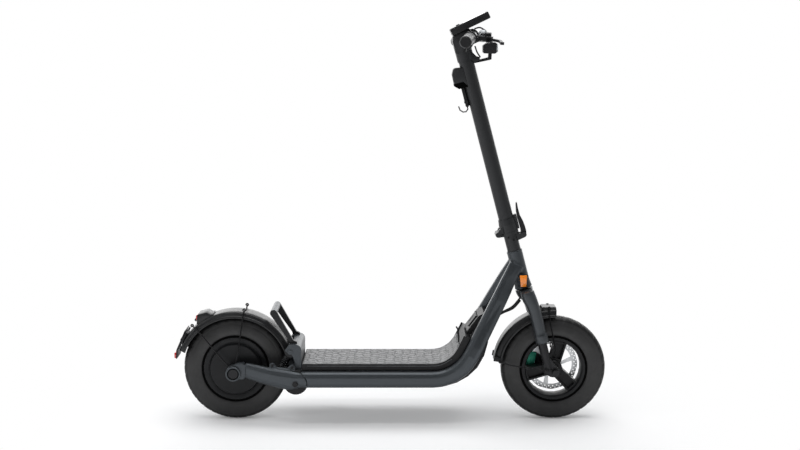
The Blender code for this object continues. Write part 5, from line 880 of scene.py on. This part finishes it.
# Plate holder and reflector
holder_top, holder_foot = rear_points((141.6, 0.0144), (161.5, 0.0092))
holder_tail = holder_foot + Vector((-0.0010, -0.0265))
holder_outline = [
    holder_top, holder_foot, holder_tail, holder_tail + Vector((0.0030, 0.0)),
    holder_foot + Vector((0.0034, -0.001)), holder_top + Vector((0.0036, 0.0)),
]
HOLDER_LOOKS = ("black_plastic", "rear_arm", "rear_fender")
side_plate("plate_holder", holder_outline, -0.035, 0.035, *HOLDER_LOOKS)
holder_rail = [
    holder_top + Vector((0.0030, -0.004)), holder_foot + Vector((0.0034, 0.002)),
    holder_foot + Vector((0.0096, 0.004)), holder_top + Vector((0.0080, -0.006)),
]
for side, side_name in SIDES:
    rail_sides = (side * 0.0350, side * 0.0318)
    side_plate("plate_holder_rail_" + side_name, holder_rail, *rail_sides, *HOLDER_LOOKS, 0.0006)
holder_arm = rear_points((144.0, 0.0118), (152.5, 0.0112), (153.5, -0.001), (143.0, -0.001))
side_plate("plate_holder_arm", holder_arm, -0.020, 0.020, *HOLDER_LOOKS)
reflector_x = holder_foot.x - 0.0012
reflector_outline = [
    (reflector_x + 0.0008, holder_foot.y - 0.0085), (reflector_x - 0.0006, holder_foot.y - 0.0262),
    (reflector_x - 0.0054, holder_foot.y - 0.0256), (reflector_x - 0.0058, holder_foot.y - 0.0095),
]
side_plate(
    "rear_reflector_skin", reflector_outline, -0.030, 0.030, "red", "rear_arm", "rear_reflector", 0.0010,
)

# Block on the front fender's upper end, and the clips at its lower end
block_form = (
    (-0.0400, 0.3440), (-0.0395, 0.3360), (-0.0180, 0.3390), (0.0022, 0.3200), (0.0036, 0.3220),
    (0.0060, 0.3470), (0.0040, 0.3490), (-0.0370, 0.3490),
)
block_outline = [(FRONT_X + x, z) for x, z in block_form]
side_plate("fender_block", block_outline, -0.0232, 0.0232, "fender", "fork_lowers", "front_fender", 0.0016)
clip_outline = fender_points(
    FRONT, FRONT_FENDER, (166.5, 0.0020), (171.8, 0.0020), (171.8, -0.0190), (168.0, -0.0200),
)
for side, side_name in SIDES:
    side_plate(
        "fender_clip_" + side_name, clip_outline, side * 0.0330, side * 0.0385, "black_plastic",
        "fork_lowers", "front_fender",
    )

# Fender stays: name, radius, body, node, the point hooked through the fender's edge, and the bends
REAR_EYE_Y = 0.0605
FRONT_EYE_Y = 0.0745
STAYS = (
    (
        "rear_stay_back_", 0.0022, "rear_arm", "rear_fender", (-0.5900, 0.0400, 0.2935),
        (-0.5650, 0.0455, 0.2690), (-0.5050, REAR_EYE_Y, 0.2010), (-0.4790, REAR_EYE_Y, 0.1740),
    ),
    (
        "rear_stay_front_", 0.0022, "rear_arm", "rear_fender", (-0.4360, 0.0400, 0.3400),
        (-0.4400, 0.0460, 0.3150), (-0.4530, REAR_EYE_Y, 0.2250), (-0.4600, REAR_EYE_Y, 0.1850),
    ),
    (
        "front_stay_top_", 0.0021, "fork_lowers", "front_fender", (0.4830, 0.0262, 0.3430),
        (0.4835, 0.0380, 0.3180), (0.4955, 0.0600, 0.2450), (0.5010, FRONT_EYE_Y, 0.2010),
    ),
    (
        "front_stay_back_", 0.0021, "fork_lowers", "front_fender", (0.3390, 0.0392, 0.1830),
        (0.3650, 0.0480, 0.1760), (0.4270, 0.0660, 0.1700), (0.4800, FRONT_EYE_Y, 0.1660),
    ),
)
HOOK_RADIUS = 0.0036
HOOK_STEPS = 16


def stay_path(hook, *bends):
    """A stay's points: a small ring at the hook, nearly closed, and then the bends."""
    hook = Vector(hook)
    ahead = (Vector(bends[0]) - hook).normalized()
    up = ahead.cross(LEFT).normalized()
    ring = circle(hook - ahead * HOOK_RADIUS, ahead, up, HOOK_RADIUS, HOOK_STEPS)
    return [*ring[HOOK_STEPS - 2:0:-1], hook, *bends]


for side, side_name in SIDES:
    for stay_name, radius, body, node, *places in STAYS:
        path = stay_path(*((x, side * y, z) for x, y, z in places))
        wire(stay_name + side_name, path, radius, "bolt", body, node, 90, 8)

# Hub motor covers with their rim flange, as radius and y of one side
HUB_SECTION = (
    (0.0200, 0.0250), (0.0200, 0.0302), (0.0300, 0.0302), (0.0330, 0.0292), (0.0645, 0.0268),
    (0.0664, 0.0258), (0.0668, 0.0190), (0.0712, 0.0190), (0.0718, 0.0246), (0.0728, 0.0254),
    (0.0750, 0.0254), (0.0760, 0.0246), (0.0766, 0.0185), (0.0806, 0.0185), (0.0815, 0.0240),
    (0.0850, 0.0262), (0.0930, 0.0268), (0.0962, 0.0264), (0.0966, 0.0220), (0.0900, 0.0160),
    (0.0500, 0.0160), (0.0200, 0.0200),
)
SCREW_CIRCLE = 0.0620


def gets_groove_shade(co):
    """Whether a face lies at the bottom of the hub's grooves, which take painted shade."""
    return 0.0180 < abs(co.y) < 0.0200 and from_axle(co, REAR) > 0.066


for side, side_name in SIDES:
    cover_mesh = wheel_mesh([(radius, side * y) for radius, y in HUB_SECTION], REAR, 96)
    cover = piece(
        "motor_cover_" + side_name, cover_mesh, "hub_face", "rear_wheel", "hub_motor_shell", 32,
    )
    # Painted shade at the bottoms of the hub's grooves
    two_tone(cover, "gap", gets_groove_shade)
    screws = []
    for degrees in range(52, 412, 60):
        spot, = about_y([(SCREW_CIRCLE, side * 0.0266)], REAR, radians(degrees))
        screws.append((spot, (0, side, 0), 0.0030, 0.0014, 16))
    bolts("motor_screws_" + side_name, screws, "rear_wheel", "hub_motor_shell")

# Painted shade: a near-black ring inside each tyre's bead, where the gap between rim and tyre lies in shade,
# and the ring on the rear axle's caps
BEAD_SECTION = (
    (0.0965, 0.0238), (0.0970, 0.0252), (0.1030, 0.0262), (0.1042, 0.0250), (0.1040, 0.0200),
    (0.0965, 0.0200),
)
CAP_SECTION = ((0.0176, 0.0), (0.0180, 0.0018), (0.0212, 0.0018), (0.0226, 0.0004), (0.0226, 0.0))
CAP_DEPTH = 0.0004
for side, side_name in SIDES:
    for body, centre, slot in (
        ("rear_wheel", REAR, "hub_motor_shell"), ("front_wheel", FRONT, "front_rim"),
    ):
        ring_mesh = wheel_mesh([(radius, side * y) for radius, y in BEAD_SECTION], centre, 72)
        piece("bead_ring_%s_%s" % (body, side_name), ring_mesh, "gap", body, slot)
    cap_y = side * (half_width("rear_axle") - CAP_DEPTH)
    cap_rim = turned_mesh(CAP_SECTION, (REAR_X, cap_y, AXLE_Z), (0, side, 0), 40)
    piece("axle_cap_rim_" + side_name, cap_rim, "gunmetal", "rear_arm", "rear_axle")

# Loop handle: painted shade, the arms under the pale bar take the black finish to stand in for their shadow
handle_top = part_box("loop_handle")[1][2]
two_tone(SKINS["loop_handle"], "black_metal", lambda co: co.z < handle_top - 0.020 and abs(co.y) > 0.020)

# Rear edge of the shock bracket is black
two_tone(SKINS["rear_bracket"], "black_metal", lambda co: co.x < -0.2985)

# Bolts of the right arm's ears and of the column
EAR_BOLTS = ((-0.3477, 0.1866), (-0.2885, 0.1810))
COLUMN_BOLTS = ((0.0060, 0.0330), (-0.0080, 0.0440))
COLUMN_RADIUS = 0.0205
ear_places = [((x, -0.0945, z), (0, -1, 0), 0.0050, 0.0026, 6) for x, z in EAR_BOLTS]
bolts("ear_bolts_right", ear_places, "rear_arm", "swing_arm")
for side, side_name in SIDES:
    spots = []
    for across, along in COLUMN_BOLTS:
        depth = (COLUMN_RADIUS ** 2 - across ** 2) ** 0.5
        spots.append((from_head(across, along, side * (depth - 0.0008)), (0, side, 0), 0.0030, 0.0026, 6))
    bolts("column_bolts_" + side_name, spots, "steering", "steering_base")

# Latch pin ahead of the mat
pin_line = ((0.2012, 0.2972), (0.2062, 0.2880), (0.2088, 0.2700), (0.2090, 0.2490))
pin_points = [(x, -0.055, z) for x, z in pin_line]
wire("cover_pin", pin_points, 0.0024, "bolt", "chassis", "front_cover", 12, 10)

# Hook housing with a paler side between dark bands
hook_side = half_width("bag_hook") - 0.0016
hook_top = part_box("bag_hook")[1][2]
two_tone(
    SKINS["bag_hook"], "dark_metal",
    lambda co: abs(co.y) > hook_side and hook_top - 0.058 < co.z < hook_top - 0.013,
)

# Dark foot of the hook housing, and the rail between its bar and the stem, both in the near-black finish of
# the painted shade
foot_places = (
    (-0.0115, 0.5112), (-0.0402, 0.5104), (-0.0474, 0.5165), (-0.0525, 0.5218), (-0.0523, 0.5285),
    (-0.0235, 0.5285),
)
foot_outline = [from_head(across, along).xz for across, along in foot_places]
side_plate("hook_foot", foot_outline, -0.0184, 0.0184, "gap", "stem", "bag_hook", 0.0006)
rail_points = [from_head(-0.0237, along) for along in (0.456, 0.484, 0.512)]
wire("hook_rail", rail_points, 0.0021, "gap", "stem", "bag_hook", 12, 8)

# Middle line of the deck, which bends up to the frame's slope
DECK_REAR_X = -0.2559
DECK_TOP_Z = 0.1908
BEND = (HEAD[0] - 0.247, 0.146 + 0.1273)
BEND_END = radians(64.3)
FLAT = BEND[0] - DECK_REAR_X
BEND_RADIUS = BEND[1] - DECK_TOP_Z


def deck_point(distance, depth):
    """Point of the deck's middle line at a distance from the rear, below the deck top."""
    turn = min(max((distance - FLAT) / BEND_RADIUS, 0.0), BEND_END)
    x = BEND[0] + BEND_RADIUS * sin(turn) + depth * sin(turn)
    z = BEND[1] - BEND_RADIUS * cos(turn) - depth * cos(turn)
    if distance < FLAT:
        x = DECK_REAR_X + distance
    past = distance - FLAT - BEND_RADIUS * BEND_END
    if past > 0.0:
        x += past * cos(BEND_END)
        z += past * sin(BEND_END)
    return x, z


# Pale lines along the deck's sides
for side, side_name in SIDES:
    pale_line_y = side * (half_width("deck_plate") + 0.0002)
    pale_line = [deck_point(0.012 + 0.036 * k, 0.0062) for k in range(13)]
    pale_line_points = [(x, pale_line_y, z) for x, z in pale_line]
    wire("deck_seam_" + side_name, pale_line_points, 0.0011, "grey_plastic", "chassis", "deck_plate", 120, 8)

# Grip ends
for side, side_name in SIDES:
    grip_end = half_width("grip_" + side_name) - 0.0045
    two_tone(SKINS["grip_" + side_name], "black_plastic", lambda co: abs(co.y) > grip_end)

# Foot of the headlight's bracket
bracket_foot = [
    (0.2405, 1.1158), (0.2568, 1.0997), (0.2671, 1.0968), (0.2672, 1.0875), (0.2511, 1.0816),
    (0.2437, 1.0866),
]
side_plate(
    "headlight_bracket_foot", bracket_foot, -0.017, 0.017, "black_plastic", "stem",
    "headlight_housing", 0.0012,
)

# Upright side reflectors in dark frames
FRAME_OUTLINE = ((0.3890, 0.4515), (0.4166, 0.4515), (0.4142, 0.4108), (0.3930, 0.4108))
LENS_OUTLINE = ((0.3920, 0.4488), (0.4137, 0.4488), (0.4118, 0.4136), (0.3954, 0.4136))
for side, side_name in SIDES:
    slot = "side_reflector_" + side_name
    side_plate(
        "reflector_frame_" + side_name, FRAME_OUTLINE, side * 0.0215, side * 0.0330, "black_plastic",
        "chassis", slot, 0.0014,
    )
    side_plate(
        "side_reflector_skin_" + side_name, LENS_OUTLINE, side * 0.0322, side * 0.0352, "amber",
        "chassis", slot, 0.0010,
    )


# Cables
def cord(name, points, radius, first, second=None):
    """A free cable along a smooth curve, blended between two bodies where the second is named."""
    path = curve_through(points, 44)
    body = None if second else first
    item = piece(name, tube_mesh(path, radius, 10), "cable", body, "underbody_tray", 60)
    if second:
        low, high = Vector(path[0]), Vector(path[-1])
        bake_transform(item, first, second, tuple(low.lerp(high, 0.1)), tuple(low.lerp(high, 0.9)))


upper_points = [
    (0.2960, -0.010, 0.2930), (0.3120, -0.010, 0.3080), (0.3420, -0.012, 0.3290), (0.3740, -0.016, 0.3450),
    (0.3960, -0.018, 0.3700),
]
lower_points = [
    (0.2960, 0.006, 0.2900), (0.3120, 0.006, 0.3050), (0.3420, 0.004, 0.3270), (0.3740, 0.000, 0.3460),
    (0.3960, -0.002, 0.3720),
]
hose_high = [(0.2495, -0.030, 1.1788), (0.2659, -0.030, 1.1821), (0.2834, -0.030, 1.1724)]
hose_low = [(0.2525, -0.015, 1.1290), (0.2592, -0.015, 1.1107), (0.2690, -0.015, 1.0960)]
cord("fork_cable_upper", upper_points, 0.0037, "chassis", "steering")
cord("fork_cable_lower", lower_points, 0.0028, "chassis", "steering")
cord("bar_hose_upper", hose_high, 0.0022, "stem")
cord("bar_hose_lower", hose_low, 0.0022, "stem")

# Deck mat
MAT_HALF = 0.0882
MAT_LENGTH = FLAT + BEND_RADIUS * BEND_END + 0.044 - 0.036
CELL = 0.0235
MAT_TOP = -0.0009
MAT_JOINT = 0.0004
MAT_BASE = 0.0041
STEPS_LONG = int(MAT_LENGTH / 0.0014)
STEPS_WIDE = int(2 * MAT_HALF / 0.0018)


def cell_centres():
    """Middles of the mat's cells, in jittered rows."""
    rng = np.random.default_rng(11)
    rows = int(MAT_LENGTH / CELL) + 3
    columns = int(2 * MAT_HALF / CELL) + 3
    centres = []
    for i in range(rows):
        for j in range(columns):
            jitter = rng.uniform(-0.30, 0.30, 2) * CELL
            along = (i - 1) * CELL + jitter[0]
            across = -MAT_HALF + (j - 1 + 0.5 * (i % 2)) * CELL + jitter[1]
            centres.append((along, across))
    return np.array(centres)


def mat_relief(along, across, centres):
    """Height of the mat's cells: flat tops between narrow crooked joints."""
    joint, slope, wobble, ripple = 0.0026, 0.0014, 0.0016, 0.0007
    shifted = np.stack([
        along + wobble * np.sin(across * 520.0 + 1.3) + ripple * np.sin(across * 1310.0),
        across + wobble * np.sin(along * 470.0) + ripple * np.sin(along * 1190.0 + 0.6),
    ], axis=-1)
    distances = np.linalg.norm(shifted[:, None, :] - centres[None, :, :], axis=2)
    distances.partition(1, axis=1)
    edge = distances[:, 1] - distances[:, 0]
    return np.clip((edge - joint) / slope, 0.0, 1.0)


def make_mat():
    """Rubber mat with a relief of crackled cells, running up the bend."""
    centres = cell_centres()
    bm = bmesh.new()
    grid, levels, base = [], [], []
    ys = np.linspace(-MAT_HALF, MAT_HALF, STEPS_WIDE + 1)
    margin = np.clip((MAT_HALF - np.abs(ys)) / 0.0015, 0.0, 1.0)
    for i in range(STEPS_LONG + 1):
        distance = MAT_LENGTH * i / STEPS_LONG
        heights = mat_relief(np.full_like(ys, distance), ys, centres)
        levels.append(heights)
        x_top, z_top = deck_point(distance, MAT_TOP)
        x_low, z_low = deck_point(distance, MAT_JOINT)
        row = []
        for y, share in zip(ys, heights * (0.35 + 0.65 * margin)):
            row.append(bm.verts.new((x_low + (x_top - x_low) * share, y, z_low + (z_top - z_low) * share)))
        grid.append(row)
    for i, (low, high) in enumerate(zip(grid, grid[1:])):
        for j in range(STEPS_WIDE):
            face = bm.faces.new((low[j], high[j], high[j + 1], low[j + 1]))
            face.material_index = int(levels[i][j] + levels[i + 1][j + 1] < 0.9)
    for i in range(STEPS_LONG + 1):
        x, z = deck_point(MAT_LENGTH * i / STEPS_LONG, MAT_BASE)
        base.append((bm.verts.new((x, -MAT_HALF, z)), bm.verts.new((x, MAT_HALF, z))))
    for i in range(STEPS_LONG):
        bm.faces.new((grid[i][0], base[i][0], base[i + 1][0], grid[i + 1][0]))
        bm.faces.new((grid[i][-1], grid[i + 1][-1], base[i + 1][1], base[i][1]))
        bm.faces.new((base[i][0], base[i][1], base[i + 1][1], base[i + 1][0]))
    bm.faces.new(grid[0][::-1] + list(base[0]))
    bm.faces.new(grid[-1] + list(base[-1][::-1]))
    bmesh.ops.recalc_face_normals(bm, faces=bm.faces)
    mat = piece("deck_mat_skin", finished(bm), "mat", "chassis", "deck_mat", 30)
    mat.data.materials.append(FINISH["joint"])


make_mat()

# Stage
WHITE = (1.0, 1.0, 1.0, 1.0)
FLOOR_REACH = 40.0
FLOOR_FRONT = -6.0
FADE_SCALE = (0.82, 0.50, 0.0)
FADE_START = 0.45
FADE_END = 0.86
CAMERA_LIFT = 0.115


def bare_nodes(owner):
    """Empty a new material's or world's nodes; gives the function that adds one."""
    owner.use_nodes = True
    owner.node_tree.nodes.clear()
    return partial(add_node, owner.node_tree)


def make_stage():
    """Floor that takes shadows near the scooter and fades to plain white away from it."""
    mesh = bpy.data.meshes.new("floor")
    corners = [(-FLOOR_REACH, FLOOR_FRONT, 0.0), (FLOOR_REACH, FLOOR_FRONT, 0.0)]
    corners += [(FLOOR_REACH, FLOOR_REACH, 0.0), (-FLOOR_REACH, FLOOR_REACH, 0.0)]
    mesh.from_pydata(corners, [], [(0, 1, 2, 3)])
    floor = linked("floor", mesh)
    material = bpy.data.materials.new("floor")
    add = bare_nodes(material)
    diffuse = add("ShaderNodeBsdfDiffuse", {"Color": (0.90, 0.90, 0.905, 1.0)})
    path = add("ShaderNodeLightPath")
    amount = add("ShaderNodeMath", {0: path.outputs["Is Camera Ray"], 1: CAMERA_LIFT}, operation="MULTIPLY")
    lift = add("ShaderNodeEmission", {"Strength": amount.outputs[0]})
    near = add("ShaderNodeAddShader", {0: diffuse.outputs["BSDF"], 1: lift.outputs["Emission"]})
    white = add("ShaderNodeEmission", {"Color": WHITE})
    coords = add("ShaderNodeTexCoord")
    place = add("ShaderNodeMapping", {"Vector": coords.outputs["Object"], "Scale": FADE_SCALE})
    length = add("ShaderNodeVectorMath", {0: place.outputs["Vector"]}, operation="LENGTH")
    fade = {"Value": length.outputs["Value"], "From Min": FADE_START, "From Max": FADE_END}
    far = add("ShaderNodeMapRange", fade, interpolation_type="SMOOTHSTEP")
    mix = add("ShaderNodeMixShader", {
        "Fac": far.outputs["Result"], 1: near.outputs["Shader"], 2: white.outputs["Emission"],
    })
    add("ShaderNodeOutputMaterial", {"Surface": mix.outputs["Shader"]})
    floor.data.materials.append(material)


def make_world():
    """White surroundings, a soft cool light, and mirrored rays that darken to the front."""
    world = bpy.data.worlds.new("studio")
    SCENE.world = world
    add = bare_nodes(world)
    seen = add("ShaderNodeBackground", {"Color": WHITE, "Strength": 1.0})
    light = add("ShaderNodeBackground", {"Color": (0.96, 0.98, 1.0, 1.0), "Strength": 0.30})
    split = add("ShaderNodeSeparateXYZ", {0: add("ShaderNodeTexCoord").outputs["Generated"]})
    ahead = add("ShaderNodeMapRange", {
        "Value": split.outputs["Y"], "From Min": -0.75, "From Max": 0.55, "To Min": 0.10, "To Max": 1.0,
    })
    mirrored = add("ShaderNodeBackground", {"Strength": ahead.outputs["Result"]})
    path = add("ShaderNodeLightPath")
    shader = light.outputs["Background"]
    for kind, choice in (("Is Glossy Ray", mirrored), ("Is Transmission Ray", seen), ("Is Camera Ray", seen)):
        inputs = {"Fac": path.outputs[kind], 1: shader, 2: choice.outputs["Background"]}
        shader = add("ShaderNodeMixShader", inputs).outputs["Shader"]
    add("ShaderNodeOutputWorld", {"Surface": shader})


# Each light's name, place, target, size and power
LIGHTS = (
    ("top", (0.1, 0.25, 3.2), (0.0, 0.0, 0.3), (3.2, 2.0), 58.0),
    ("strip", (0.0, -1.1, 2.7), (0.0, 0.0, 0.4), (3.0, 0.25), 12.0),
    ("left", (-2.8, -1.0, 1.5), (0.1, 0.0, 0.6), (0.5, 2.0), 14.0),
    ("front", (-1.4, -3.2, 2.0), (0.0, 0.0, 0.4), (1.6, 1.6), 7.0),
    ("low", (0.0, -0.72, 0.012), (0.0, -0.72, 1.0), (2.6, 0.9), 4.5),
    ("back", (0.0, 4.5, 1.6), (0.0, 0.0, 0.5), (8.0, 3.0), 130.0),
)


def make_light(name, place, target, size, power):
    """A rectangular light that faces its target and that the camera doesn't see."""
    data = bpy.data.lights.new(name, "AREA")
    data.shape = "RECTANGLE"
    data.size, data.size_y = size
    data.energy = power
    lamp = linked(name, data)
    lamp.location = place
    direction = Vector(target) - Vector(place)
    lamp.rotation_euler = direction.to_track_quat("-Z", "Y").to_euler()
    lamp.visible_camera = False


def make_camera():
    """The camera of the photograph."""
    data = bpy.data.cameras.new("camera")
    data.lens = 56.16
    data.sensor_width = 36.0
    camera = linked("camera", data)
    camera.location = (0.033, -3.708, 1.1585)
    camera.rotation_euler = (radians(90 - 8.62), 0.0, 0.0)
    SCENE.camera = camera


make_stage()
make_world()
for light in LIGHTS:
    make_light(*light)
make_camera()
SCENE.view_settings.view_transform = "Standard"
